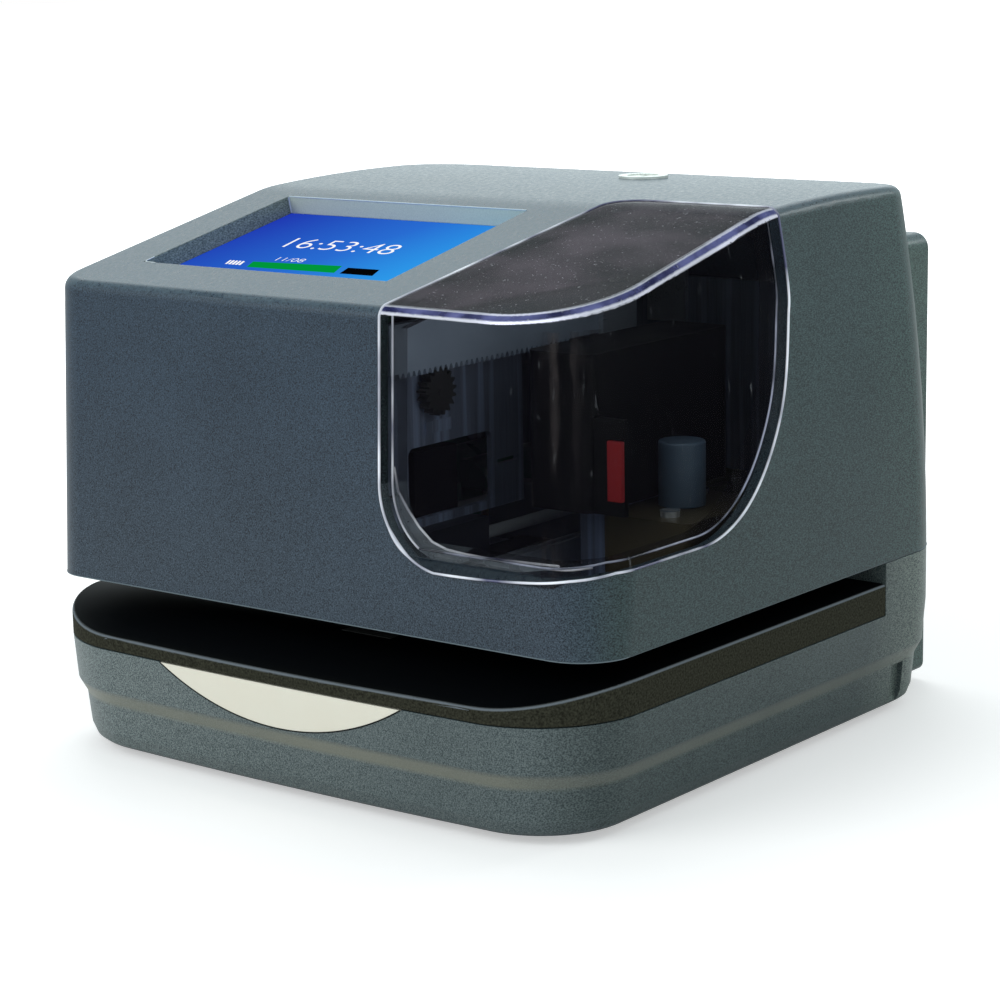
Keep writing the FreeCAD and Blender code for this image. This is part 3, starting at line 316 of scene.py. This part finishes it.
def windowPlastic():
    # clear smoke moulding: see-through faces, a top painted paler and more opaque as painted reflection with
    # a patch of painted shade, a lavender band of painted reflection on the rounded edges, glowing painted
    # highlight lines, painted reflection streaks at the front corner, frosted return walls, dust and fine
    # scratches
    paint = Paint("windowSmoke")
    look = windowLook
    dark = (0, 0, 0, 1)
    x, y, z = (paint.place(axis) for axis in "XYZ")
    nx, ny, nz = (paint.facing(axis) for axis in "XYZ")
    smear = paint.noise(16 * mm, 4.0)
    cloudy = paint.ramp(paint.noise(7 * mm, 3.0), 0.35, 0.65)
    glint = paint.ramp(paint.noise(26 * mm, 2.0), 0.4, 0.6)

    # painted reflection: the top face is paler, mottled and more opaque than the other faces
    upward = paint.ramp(nz, 0.93, 0.97) * (z > look["topFrom"])
    high = z > look["rimFrom"]
    # painted reflection: a lavender band on the rounded top edges
    rim = paint.ramp(nz, 0.30, 0.36) * (1 - paint.ramp(nz, 0.90, 0.95)) * high
    # painted highlights: bright lines along the lower and upper side of that band
    lowHighlight = paint.ramp(nz, 0.27, 0.32) * (1 - paint.ramp(nz, 0.46, 0.58)) * high
    topHighlight = paint.ramp(nz, 0.83, 0.88) * (1 - paint.ramp(nz, 0.94, 0.97)) * high
    wall = (abs(ny) < 0.5) * (y < look["returnFront"]) * (z < look["returnTop"])
    wall = wall * (x < look["returnRight"])
    # painted shade: a dark patch along the top's front right
    sailShade = x - (y + look["sailFront"]) * look["sailSlope"] - look["sailLeft"]
    sailShade = paint.ramp(sailShade, 0.0, 1.5 * mm) * upward

    top = paint.mix(paint.ramp(smear, 0.35, 0.65), look["top"], look["topReflectionPale"])
    colour = paint.mix(upward, look["smoke"], top)
    colour = paint.mix(sailShade * 0.8, colour, look["smoke"])
    colour = paint.mix(rim, colour, paint.mix(cloudy, look["rim"], look["rimLight"]))
    colour = paint.mix(paint.either(lowHighlight, topHighlight * 0.7), colour, look["rimPale"])
    colour = paint.mix(wall, colour, look["returnPale"])
    # the painted highlight lines glow
    glow = paint.either(lowHighlight * (0.4 + glint * 0.6), topHighlight * glint * 0.6)
    glow = paint.mix(glow, dark, look["rimGlow"])

    alpha = look["alpha"] + upward * (look["topAlpha"] - look["alpha"] + (smear - 0.5) * 0.3)
    alpha = paint.either(alpha, rim * 0.72)
    lines = paint.either(lowHighlight * (0.55 + glint * 0.45), topHighlight * (0.3 + glint * 0.5))
    alpha = paint.either(alpha, lines)
    alpha = paint.either(alpha, wall * (0.12 + smear * 0.1))

    # painted reflection: vertical streaks near the front right corner
    corner = paint.ramp(x, *look["streakLeft"]) * (1 - paint.ramp(x, *look["streakRight"]))
    corner = corner * (y < look["streakFront"]) * (z < look["streakTop"])
    streakReflections = paint.ramp(paint.noise(3.2 * mm, 3.0, paint.stretched(1, 1, 0.06)), 0.5, 0.72) * corner
    colour = paint.mix(streakReflections, colour, look["streakReflection"])
    alpha = alpha + streakReflections * 0.4

    specks = paint.ramp(paint.noise(0.55 * mm, 1.0), 0.735, 0.77)
    scratches = paint.ramp(paint.noise(1.1 * mm, 2.0, paint.stretched(1, 1, 0.16)), 0.70, 0.74)
    scratches = scratches * (y > look["scratchFront"])
    outward = paint.either(nx > -0.1, abs(ny) > 0.5)
    dust = paint.either(specks * (0.3 + upward * 0.4), scratches * 0.35) * outward
    colour = paint.mix(dust, colour, look["dust"])
    alpha = paint.either(alpha, dust * 0.8)
    rough = 0.06 + upward * 0.12 + wall * 0.25 + smear * 0.04
    return paint.set(baseColor=colour, alpha=alpha, roughness=rough, emission=glow, glow=1.0, specular=0.01,
                     normal=paint.bump(smear, 0.02 * mm))


def glowingEdgeHighlight(name, dark, pale, length):
    # painted highlight along an edge of the clear moulding, glowing a little, brighter and darker along its
    # run
    paint = Paint(name)
    run = paint.ramp(paint.noise(length, 2.0), 0.38, 0.62)
    lit = paint.mix(run * 0.5, (0, 0, 0, 1), pale)
    return paint.set(baseColor=paint.mix(run, dark, pale), emission=lit, glow=0.5, roughness=0.12,
                     specular=0.8)


def rubberBlack():
    paint = Paint("rubberBlack")
    fine = paint.noise(0.6 * mm, 4.0)
    return paint.set(baseColor=paint.mix(fine, rgb(20, 20, 21), rgb(38, 37, 36)), roughness=0.75,
                     normal=paint.bump(fine, 0.03 * mm))


def circuitBoard():
    # green solder mask with paler tracks
    paint = Paint("circuitBoard")
    bricks = {"Vector": paint.coords, "Scale": 420.0, "Color1": (0.25, 0.25, 0.25, 1),
              "Color2": (0.8, 0.8, 0.8, 1), "Mortar": (1, 1, 1, 1), "Mortar Size": 0.06}
    tracks = paint.node("ShaderNodeTexBrick", None, bricks, "Fac")
    cloud = paint.noise(3 * mm, 2.0)
    mask = paint.mix(tracks * 0.5 + cloud * 0.3, rgb(14, 60, 42), rgb(42, 106, 76))
    return paint.set(baseColor=mask, roughness=0.35 + cloud * 0.15, normal=paint.bump(tracks, 0.02 * mm))


def inkedCloth():
    paint = Paint("ribbonCloth")
    weave = paint.node("ShaderNodeTexWave", {"bands_direction": "DIAGONAL"},
                       {"Vector": paint.coords, "Scale": 1500.0, "Distortion": 0.4}, "Fac")
    return paint.set(baseColor=paint.mix(weave, rgb(10, 10, 14), rgb(30, 30, 38)), roughness=0.7,
                     normal=paint.bump(weave, 0.03 * mm))


looks = {
    "case_plastic": casePlastic("caseSlate", caseLook, recessLight=recessLightLook),
    "table_plastic": tablePlastic(),
    "cream_plastic": mouldedPlastic("lensCream", rgb(252, 240, 221), rgb(255, 250, 236), 0.38),
    "window_clear": windowPlastic(),
    "screen": mouldedPlastic("screenBezel", rgb(10, 11, 14), rgb(16, 17, 20), 0.2),
    "steel": sheetMetal("platedSteel", rgb(160, 166, 178), rgb(206, 212, 222), 0.3, metallic=0.4),
    "zinc_steel": sheetMetal("zincSheet", rgb(62, 68, 84), rgb(160, 170, 196), 0.38, "z", 0.3,
                             bands=rgb(176, 190, 226)),
    "bright_steel": sheetMetal("brightSteel", rgb(206, 206, 210), rgb(236, 236, 240), 0.18, metallic=0.7),
    "lock_metal": sheetMetal("satinNickel", rgb(226, 228, 222), rgb(244, 246, 240), 0.3, metallic=0.3),
    "brass": sheetMetal("brass", rgb(196, 160, 92), rgb(218, 186, 120), 0.3),
    "rubber": rubberBlack(),
    "circuit_board": circuitBoard(),
    "black_plastic": mouldedPlastic("blackMoulding", rgb(7, 7, 9), rgb(16, 16, 18), 0.42, specular=0.12),
    "ribbon_cloth": inkedCloth(),
    "grey_plastic": mouldedPlastic("greyAcetal", rgb(52, 64, 78), rgb(74, 86, 100), 0.4),
    "red_plastic": mouldedPlastic("markerRed", rgb(150, 14, 22), rgb(186, 28, 36), 0.5),
    "head_aluminium": sheetMetal("darkCasting", rgb(48, 50, 52), rgb(72, 74, 76), 0.45),
    "battery_wrap": mouldedPlastic("batterySleeve", rgb(24, 84, 60), rgb(38, 110, 80), 0.3),
}
ownLooks = {
    "base_shell": casePlastic("baseSlate", baseLook, chamferLight=chamferLightLook),
    "rear_lower_cover": casePlastic("rearSlate", rearLook),
    "carriage_block": mouldedPlastic("blockGrey", rgb(24, 26, 32), rgb(40, 44, 54), 0.4, specular=0.2),
    "ribbon_drive_housing": mouldedPlastic("housingOlive", rgb(58, 50, 34), rgb(100, 90, 66), 0.45,
                                           specular=0.2),
    "paper_sensor": mouldedPlastic("sensorOlive", rgb(62, 60, 44), rgb(110, 106, 78), 0.5, specular=0.2),
    "print_head": mouldedPlastic("headBlack", rgb(3, 3, 5), rgb(9, 9, 12), 0.5, specular=0.05),
    "main_guide_shaft": sheetMetal("shaftBright", rgb(214, 216, 222), rgb(246, 246, 250), 0.14, "x", 0.5),
    "ribbon_rail": sheetMetal("railBright", rgb(150, 154, 166), rgb(226, 230, 240), 0.22, "x", 0.3),
    "shaft_supports": mouldedPlastic("supportBlue", rgb(40, 46, 62), rgb(84, 94, 120), 0.35),
    "motor_pinion": sheetMetal("pinionSteel", rgb(40, 40, 42), rgb(72, 70, 70), 0.4, metallic=0.4),
    "toothed_rack": mouldedPlastic("rackGrey", rgb(138, 150, 172), rgb(186, 196, 214), 0.45),
    "ribbon_knob": mouldedPlastic("knobSlate", rgb(74, 92, 112), rgb(106, 124, 144), 0.42),
}
ownLooks["rear_upper_cover"] = ownLooks["rear_lower_cover"]
ownLooks["side_guide_shaft"] = ownLooks["main_guide_shaft"]
for part in frame["record"]["subparts"]:
    shown = nodes[part["node"]]
    shown.data.materials.clear()
    shown.data.materials.append(ownLooks.get(part["node"], looks[part["material_slot"]]))
print("finishes made:", len(looks) + len(ownLooks))


slope = {"start": (0, -75.5, 111.9), "degrees": 12.09}
slopeTurn = Matrix.Rotation(math.radians(slope["degrees"]), 4, "X")
screen = {"left": -65.1, "right": 11.6, "near": 19.7, "far": 73.4, "depth": 4.5, "inset": 0.05,
          "imageLift": 0.05, "drawingLift": 0.08,
          "shades": [(0.0, rgb(32, 54, 176)), (0.5, rgb(40, 108, 210)), (0.95, rgb(46, 164, 240))]}


def onSlope(x, along, height):
    where = Matrix.Translation(Vector((x, along, height)) * mm)
    return Matrix.Translation(Vector(slope["start"]) * mm) @ slopeTurn @ where


def sheetPiece(name, corners, material, lift=screen["drawingLift"]):
    # a thin flat shape on the screen, its corners in mm along the slope
    mesh = bpy.data.meshes.new(name)
    piece = bpy.data.objects.new(name, mesh)
    scene.collection.objects.link(piece)
    build = bmesh.new()
    build.faces.new([build.verts.new((x * mm, y * mm, 0)) for x, y in corners])
    build.to_mesh(mesh)
    build.free()
    mesh.materials.append(material)
    piece.matrix_world = onSlope(0, 0, lift - screen["depth"])
    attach(piece, "cover")


def litPaint(name, colour, glow=1.0):
    # light from the screen, without any shine of its own
    paint = Paint(name)
    return paint.set(baseColor=(0, 0, 0, 1), emission=colour, glow=glow, roughness=0.4, specular=0.0)


def screenPaint():
    # blue that gets lighter to the right and a little to the near edge
    paint = Paint("screenGlow")
    left, right, near, far = (screen[side] * mm for side in ("left", "right", "near", "far"))
    across = (paint.place("X") - left) / (right - left)
    down = (far - paint.place("Y")) / (far - near)
    place = across * 0.8 + down * 0.2
    colour = paint.node("ShaderNodeValToRGB", {"stops": screen["shades"]}, {0: place}, "Color")
    return paint.set(baseColor=(0, 0, 0, 1), emission=colour, glow=1.0, roughness=0.4, specular=0.0)


white = litPaint("screenWhite", (1, 1, 1, 1))
green = litPaint("screenGreen", rgb(0, 150, 58))
black = litPaint("screenBlack", rgb(6, 6, 8), 0.6)
left, right = screen["left"] + screen["inset"], screen["right"] - screen["inset"]
near, far = screen["near"] + screen["inset"], screen["far"] - screen["inset"]
sheetPiece("screen_image", [(left, near), (right, near), (right, far), (left, far)], screenPaint(),
           screen["imageLift"])
sheetPiece("screen_green_bar", [(-44.4, 33.1), (-17.0, 33.7), (-18.6, 38.6), (-45.7, 37.0)], green)
sheetPiece("screen_black_bar", [(-15.2, 33.6), (-5.2, 33.7), (-6.5, 38.0), (-16.0, 37.8)], black)
icons = {"spans": [(-53.2, -52.6), (-52.2, -51.5), (-51.1, -50.4), (-50.0, -49.3), (-48.9, -48.2)],
         "near": 34.0, "far": 36.8}
for index, (x0, x1) in enumerate(icons["spans"]):
    sheetPiece("screen_icon_%d" % index, [(x0 + 0.8, icons["near"]), (x1 + 0.9, icons["near"]),
                                          (x1, icons["far"]), (x0, icons["far"])], white)

digits = {"clock": {"words": "16:53:48", "left": -46.6, "near": 48.5, "width": 34.2, "height": 7.0},
          "date": {"words": "11/08", "left": -40.4, "near": 38.9, "width": 8.6, "height": 2.5}}
leaning = Matrix(((1, -0.06, 0, 0), (0, 1, 0, 0), (0, 0, 1, 0), (0, 0, 0, 1)))
for name, look in digits.items():
    text = bpy.data.curves.new("screen_" + name, "FONT")
    text.body, text.size = look["words"], 1.0
    text.fill_mode, text.offset = "FRONT", -0.012
    piece = bpy.data.objects.new("screen_" + name, text)
    scene.collection.objects.link(piece)
    bpy.context.view_layer.update()
    corners = [Vector(c) for c in piece.bound_box]
    low = Vector((min(c.x for c in corners), min(c.y for c in corners), 0))
    high = Vector((max(c.x for c in corners), max(c.y for c in corners), 0))
    wide, tall = look["width"] * mm / (high.x - low.x), look["height"] * mm / (high.y - low.y)
    mesh = bpy.data.meshes.new_from_object(piece)
    mesh.transform(leaning @ Matrix.Diagonal((wide, tall, 1, 1)) @ Matrix.Translation(-low))
    bpy.data.objects.remove(piece)
    piece = bpy.data.objects.new("screen_" + name, mesh)
    scene.collection.objects.link(piece)
    mesh.materials.clear()
    mesh.materials.append(white)
    piece.matrix_world = onSlope(look["left"], look["near"], screen["drawingLift"] - screen["depth"])
    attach(piece, "cover")
print("screen made")


def edgeChains(node, minAngle=25):
    # the sharp edges of a CAD node, joined into runs of points, longest first
    build = bmesh.new()
    build.from_mesh(nodes[node].data)
    bmesh.ops.remove_doubles(build, verts=build.verts, dist=1e-6)
    sharp = {e for e in build.edges if len(e.link_faces) == 2
             and e.link_faces[0].normal.angle(e.link_faces[1].normal, 0) > math.radians(minAngle)}
    meeting = {}
    for e in sorted(sharp, key=lambda e: e.index):
        for v in e.verts:
            meeting.setdefault(v, []).append(e)
    left, chains = set(sharp), []
    while left:
        ends = [e for e in left if any(len(meeting[v]) != 2 for v in e.verts)]
        e = min(ends or left, key=lambda e: e.index)
        v = next((v for v in e.verts if len(meeting[v]) != 2), e.verts[0])
        points = [v.co.copy()]
        while e is not None:
            left.discard(e)
            v = e.other_vert(v)
            points.append(v.co.copy())
            e = next((f for f in meeting[v] if f in left), None) if len(meeting[v]) == 2 else None
        chains.append(points)
    build.free()
    return sorted(chains, key=lambda points: -sum((p - q).length for p, q in zip(points, points[1:])))


touching = 0.01 * mm


def edgeLine(name, points, radius, material, body, tapered=False):
    # a thin line along an edge, kept inside the object's box; most are painted highlights, the lens gap is a
    # dark joint line
    curve = bpy.data.curves.new(name, "CURVE")
    curve.dimensions, curve.bevel_depth, curve.bevel_resolution = "3D", radius, 2
    closed = (points[0] - points[-1]).length < touching
    kept = points[:-1] if closed else points
    spline = curve.splines.new("POLY")
    spline.points.add(len(kept) - 1)
    for point, where in zip(spline.points, kept):
        inside = [min(max(where[i], cadLow[i] + radius), cadHigh[i] - radius) for i in range(3)]
        point.co = (*inside, 1)
    if tapered:
        for i, point in enumerate(spline.points):
            point.radius = max(0.15, math.sin(math.pi * i / (len(kept) - 1)))
    spline.use_cyclic_u = closed
    curve.materials.append(material)
    piece = bpy.data.objects.new(name, curve)
    scene.collection.objects.link(piece)
    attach(piece, body)


def joinedRun(chains, first):
    # one run carried on through the runs that meet its end, the straightest each time, until it closes
    path, left = list(chains[first]), [list(run) for i, run in enumerate(chains) if i != first]
    while (path[-1] - path[0]).length > touching:
        turned = [run if (run[0] - path[-1]).length < touching else run[::-1] for run in left]
        meeting = [run for run in turned if (run[0] - path[-1]).length < touching]
        if not meeting:
            break
        ahead = (path[-1] - path[-2]).normalized()
        run = max(meeting, key=lambda run: ahead.dot((run[1] - run[0]).normalized()))
        left = [other for other in left if other != run and other[::-1] != run]
        path += run[1:]
    return path


foot = {"top": 58.6 * mm, "left": 39 * mm, "front": -73 * mm, "gapBelow": 62 * mm, "step": 2 * mm,
        "rise": 2.2}


def easedFoot(points):
    # the outline's foot on the front, with one even rise to the case's corner
    points = points[:-1]
    low = [p for p in points if p.z < foot["top"] and p.x > foot["left"] and p.y < foot["front"]]
    first, last = min(low, key=lambda p: p.x), max(low, key=lambda p: p.x)
    kept = [p for p in points if p not in low]
    cut = max(range(len(kept)),
              key=lambda i: (kept[i] - kept[i - 1]).length if kept[i].z < foot["gapBelow"] else 0)
    rightward = (kept[cut - 1] - first).length < (kept[cut] - first).length
    low.sort(key=lambda p: p.x, reverse=not rightward)
    eased = []
    for start, end in zip(low, low[1:]):
        steps = max(1, round((end - start).length / foot["step"]))
        eased += [start.lerp(end, i / steps) for i in range(steps)]
    for p in eased:
        share = (p.x - first.x) / (last.x - first.x)
        p.z = first.z + (last.z - first.z) * share ** foot["rise"]
    whole = kept[:cut] + eased + [low[-1]] + kept[cut:]
    return whole + [whole[0].copy()]


windowLines = {"outline": 0.30 * mm, "corner": 0.5 * mm, "inner": 0.25 * mm, "return": 0.30 * mm,
               "lip": 0.28 * mm, "cornerRight": 35 * mm, "cornerFrom": 57.3 * mm, "cornerTo": 68 * mm,
               "returnFront": -64 * mm, "returnTop": 85 * mm}
# the window's edge lines are painted highlights that glow a little
brightEdgeHighlight = glowingEdgeHighlight("windowEdgeHighlight", rgb(84, 84, 120), rgb(240, 241, 250), 18 * mm)
softEdge = glowingEdgeHighlight("windowEdgeSoftHighlight", rgb(40, 42, 58), rgb(176, 180, 204), 14 * mm)
runs = edgeChains("window")
outline = easedFoot(joinedRun(runs, 0))
edgeLine("window_outline_highlight", outline, windowLines["outline"], brightEdgeHighlight, "cover")
corner = [point for point in outline if point.x < windowLines["cornerRight"]
          and windowLines["cornerFrom"] < point.z < windowLines["cornerTo"]]
edgeLine("window_corner_highlight", corner, windowLines["corner"], brightEdgeHighlight, "cover",
         tapered=True)
edgeLine("window_inner_highlight", runs[1], windowLines["inner"], softEdge, "cover")
edgeLine("window_left_highlight", runs[8], windowLines["inner"], brightEdgeHighlight, "cover")
lowerReturn = [point for point in runs[2] if point.y < windowLines["returnFront"]
               and point.z < windowLines["returnTop"]]
edgeLine("window_return_highlight", lowerReturn, windowLines["return"], brightEdgeHighlight, "cover")

lip = {"outer": [(24.6, 77.0), (24.9, 71.5), (26.6, 66.8), (29.0, 62.9), (32.4, 59.6), (36.8, 57.6),
                 (43.0, 56.8), (50.0, 57.0), (57.5, 57.8), (64.0, 59.0), (69.5, 60.0)],
       "inner": [(24.8, 77.4), (25.8, 72.0), (28.4, 68.3), (31.6, 64.6), (35.2, 61.7), (39.2, 60.5),
                 (44.4, 60.1), (50.5, 60.0), (57.8, 60.2), (64.0, 60.4), (69.8, 60.6)],
       "front": -72.0, "middle": -71.7, "rear": -70.9,
       "colour": rgb(96, 104, 116), "pale": rgb(176, 184, 194)}


def lipPlastic():
    paint = Paint("windowLip")
    cloud = paint.noise(5 * mm, 3.0)
    return paint.set(baseColor=paint.mix(cloud, lip["colour"], lip["pale"]), alpha=0.32 + cloud * 0.4,
                     roughness=0.3)


def windowLip():
    # the frosted flange along the window's lower left, with a painted highlight along its inner edge; points
    # in mm as x, z
    mesh = bpy.data.meshes.new("window_lip")
    piece = bpy.data.objects.new("window_lip", mesh)
    scene.collection.objects.link(piece)
    build = bmesh.new()
    rows, edge = [], []
    for (x0, z0), (x1, z1) in zip(lip["outer"], lip["inner"]):
        ends = [(x0, lip["front"], z0), ((x0 + x1) / 2, lip["middle"], (z0 + z1) / 2), (x1, lip["rear"], z1)]
        ends = [Vector(end) * mm for end in ends]
        rows.append([build.verts.new(end) for end in ends])
        edge.append(ends[2])
    for first, second in zip(rows, rows[1:]):
        for i in range(2):
            build.faces.new((first[i], first[i + 1], second[i + 1], second[i]))
    bmesh.ops.recalc_face_normals(build, faces=build.faces)
    build.to_mesh(mesh)
    build.free()
    for polygon in mesh.polygons:
        polygon.use_smooth = True
    mesh.materials.append(lipPlastic())
    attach(piece, "cover")
    edgeLine("window_lip_highlight", edge, windowLines["lip"], brightEdgeHighlight, "cover")


windowLip()
print("window edges made")

trim = {"coverFoot": 0.14 * mm, "lensGap": 0.16 * mm, "recessFar": 0.16 * mm, "recessCorner": 0.2 * mm,
        "recessNear": 0.13 * mm, "knobHighlight": 0.16 * mm, "knobReach": 4.9 * mm, "knobDrop": 0.2 * mm,
        "knobSteps": 48}
coverRuns = edgeChains("upper_cover")
# painted highlights as pale lines: along the cover's lower edge, the recess's far edge, glints at the recess
# corners and a ring on the knob's top; the lens gap is a dark joint
coverEdgeHighlight = mouldedPlastic("coverEdgeHighlight", rgb(96, 108, 116), rgb(126, 138, 146), 0.4)
seamDark = mouldedPlastic("seamDark", rgb(10, 12, 13), rgb(24, 26, 26), 0.5, specular=0.1)
recessEdgeHighlight = mouldedPlastic("recessEdgeHighlight", rgb(200, 212, 218), rgb(226, 236, 240), 0.3)
cornerGlint = mouldedPlastic("cornerGlint", rgb(226, 234, 238), rgb(248, 252, 252), 0.2)
knobRimHighlight = mouldedPlastic("knobRimHighlight", rgb(150, 164, 180), rgb(220, 228, 238), 0.25)
edgeLine("cover_lower_highlight", coverRuns[0], trim["coverFoot"], coverEdgeHighlight, "cover")
edgeLine("lens_gap", edgeChains("indicator_lens")[0], trim["lensGap"], seamDark, "base")
# painted highlight along the recess's far edge
recessFar = [onSlope(x, screen["far"], 0).translation for x in (screen["left"] + 0.3, screen["right"] - 0.3)]
edgeLine("recess_far_highlight", recessFar, trim["recessFar"], recessEdgeHighlight, "cover")
# painted glints at the recess's far and near left corners
recessCorner = [onSlope(screen["left"] + 0.1, screen["far"] - 0.1, height).translation
                for height in (0.3 - screen["depth"], -0.1)]
edgeLine("recess_corner_glint", recessCorner, trim["recessCorner"], cornerGlint, "cover")
nearCorner = [(-65.1, 23.5), (-65.0, 20.6), (-64.4, 19.8), (-61.0, 19.7)]
nearCorner = [onSlope(x, along, 0).translation for x, along in nearCorner]
edgeLine("recess_near_glint", nearCorner, trim["recessNear"], cornerGlint, "cover")
# painted highlight: a pale ring on the knob's top rim
knobLow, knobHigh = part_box("ribbon_knob")
knobMiddle = (Vector(knobLow) + Vector(knobHigh)) / 2
knobHighlight = []
for i in range(trim["knobSteps"] + 1):
    angle = math.tau * i / trim["knobSteps"]
    x, y = trim["knobReach"] * math.cos(angle), trim["knobReach"] * math.sin(angle)
    knobHighlight.append(Vector((knobMiddle.x + x, knobMiddle.y + y, knobHigh[2] - trim["knobDrop"])))
edgeLine("knob_rim", knobHighlight, trim["knobHighlight"], knobRimHighlight, "ribbon_knob")
print("trim made")


floorLook = {"colour": (0.9, 0.855, 0.85, 1), "lift": 0.42, "liftFar": 0.6, "fade": (0.16, 0.5),
             "halfWidth": 6.0}


def floorPaint():
    # pale floor that keeps the shadow and goes to white away from the object
    paint = Paint("floorWhite")
    look = floorLook
    distance = paint.node("ShaderNodeVectorMath", {"operation": "LENGTH"}, {0: paint.coords}, "Value")
    camera = paint.node("ShaderNodeLightPath", out="Is Camera Ray")
    lift = camera * (look["lift"] + paint.ramp(distance, *look["fade"]) * look["liftFar"])
    return paint.set(baseColor=look["colour"], roughness=0.9, specular=0.1, emission=lift, glow=1.0)


floorMesh = bpy.data.meshes.new("floor")
floorPiece = bpy.data.objects.new("floor", floorMesh)
scene.collection.objects.link(floorPiece)
build = bmesh.new()
bmesh.ops.create_grid(build, x_segments=1, y_segments=1, size=floorLook["halfWidth"])
build.to_mesh(floorMesh)
build.free()
floorMesh.materials.append(floorPaint())
floorPiece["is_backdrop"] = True


class Sky(Paint):
    # the studio's world, made with the same node method
    def __init__(self, name):
        self.world = bpy.data.worlds.new(name)
        self.world.use_nodes = True
        self.tree = self.world.node_tree
        self.background = self.tree.nodes["Background"]


sky = Sky("studio")
scene.world = sky.world
skyLook = {"light": 0.5, "seen": 0.9, "camera": 1.0, "tint": rgb(226, 244, 246)}
fromCamera, glossy, through = [sky.node("ShaderNodeLightPath", out="Is %s Ray" % kind)
                               for kind in ("Camera", "Glossy", "Transmission")]
level = sky.either(glossy, through) * (skyLook["seen"] - skyLook["light"]) + skyLook["light"]
sky.feed(sky.background.inputs["Strength"], sky.either(level, fromCamera * skyLook["camera"]))
sky.feed(sky.background.inputs["Color"], sky.mix(fromCamera, skyLook["tint"], (1, 1, 1, 1)))

lamps = {"keyLamp": {"place": (-0.45, -1.1, 0.75), "size": 0.9, "watts": 6.5},
         "sideLamp": {"place": (1.2, -0.1, 0.5), "size": 0.8, "watts": 1.6},
         "topLamp": {"place": (-0.3, 0.3, 1.25), "size": 0.5, "watts": 3.4},
         "edgeLamp": {"place": (0.55, 1.1, 0.7), "size": 0.25, "watts": 1.6},
         "backLamp": {"place": (-0.95, 1.2, 0.62), "size": 1.3, "watts": 4.4}}
lampTint, lampAim = (0.93, 0.99, 1.0), Vector((0, 0, 0.07))
for name, look in lamps.items():
    data = bpy.data.lights.new(name, "AREA")
    data.shape, data.size, data.energy = "SQUARE", look["size"], look["watts"]
    data.color = lampTint
    lamp = bpy.data.objects.new(name, data)
    scene.collection.objects.link(lamp)
    lamp.location = look["place"]
    lamp.rotation_euler = (lampAim - lamp.location).to_track_quat("-Z", "Y").to_euler()
    lamp.visible_camera = False

view = {"azimuth": 38.09, "elevation": 11.585, "roll": -1.06, "place": (412.6, -528.1, 192.3), "lens": 99.72}
azimuth, elevation, roll = (math.radians(view[k]) for k in ("azimuth", "elevation", "roll"))
side = Vector((math.cos(azimuth), math.sin(azimuth), 0))
inward = Vector((-math.sin(azimuth), math.cos(azimuth), 0))
forward = inward * math.cos(elevation) - Vector((0, 0, math.sin(elevation)))
upward = side.cross(forward)
cameraX = side * math.cos(roll) + upward * math.sin(roll)
cameraY = upward * math.cos(roll) - side * math.sin(roll)
cameraData = bpy.data.cameras.new("camera")
cameraData.lens, cameraData.sensor_width = view["lens"], 36.0
cameraData.clip_start, cameraData.clip_end = 0.05, 20
camera = bpy.data.objects.new("camera", cameraData)
scene.collection.objects.link(camera)
turn = Matrix((cameraX, cameraY, -forward)).transposed().to_4x4()
camera.matrix_world = Matrix.Translation(Vector(view["place"]) * mm) @ turn
scene.camera = camera
print("stage made")

low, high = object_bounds()
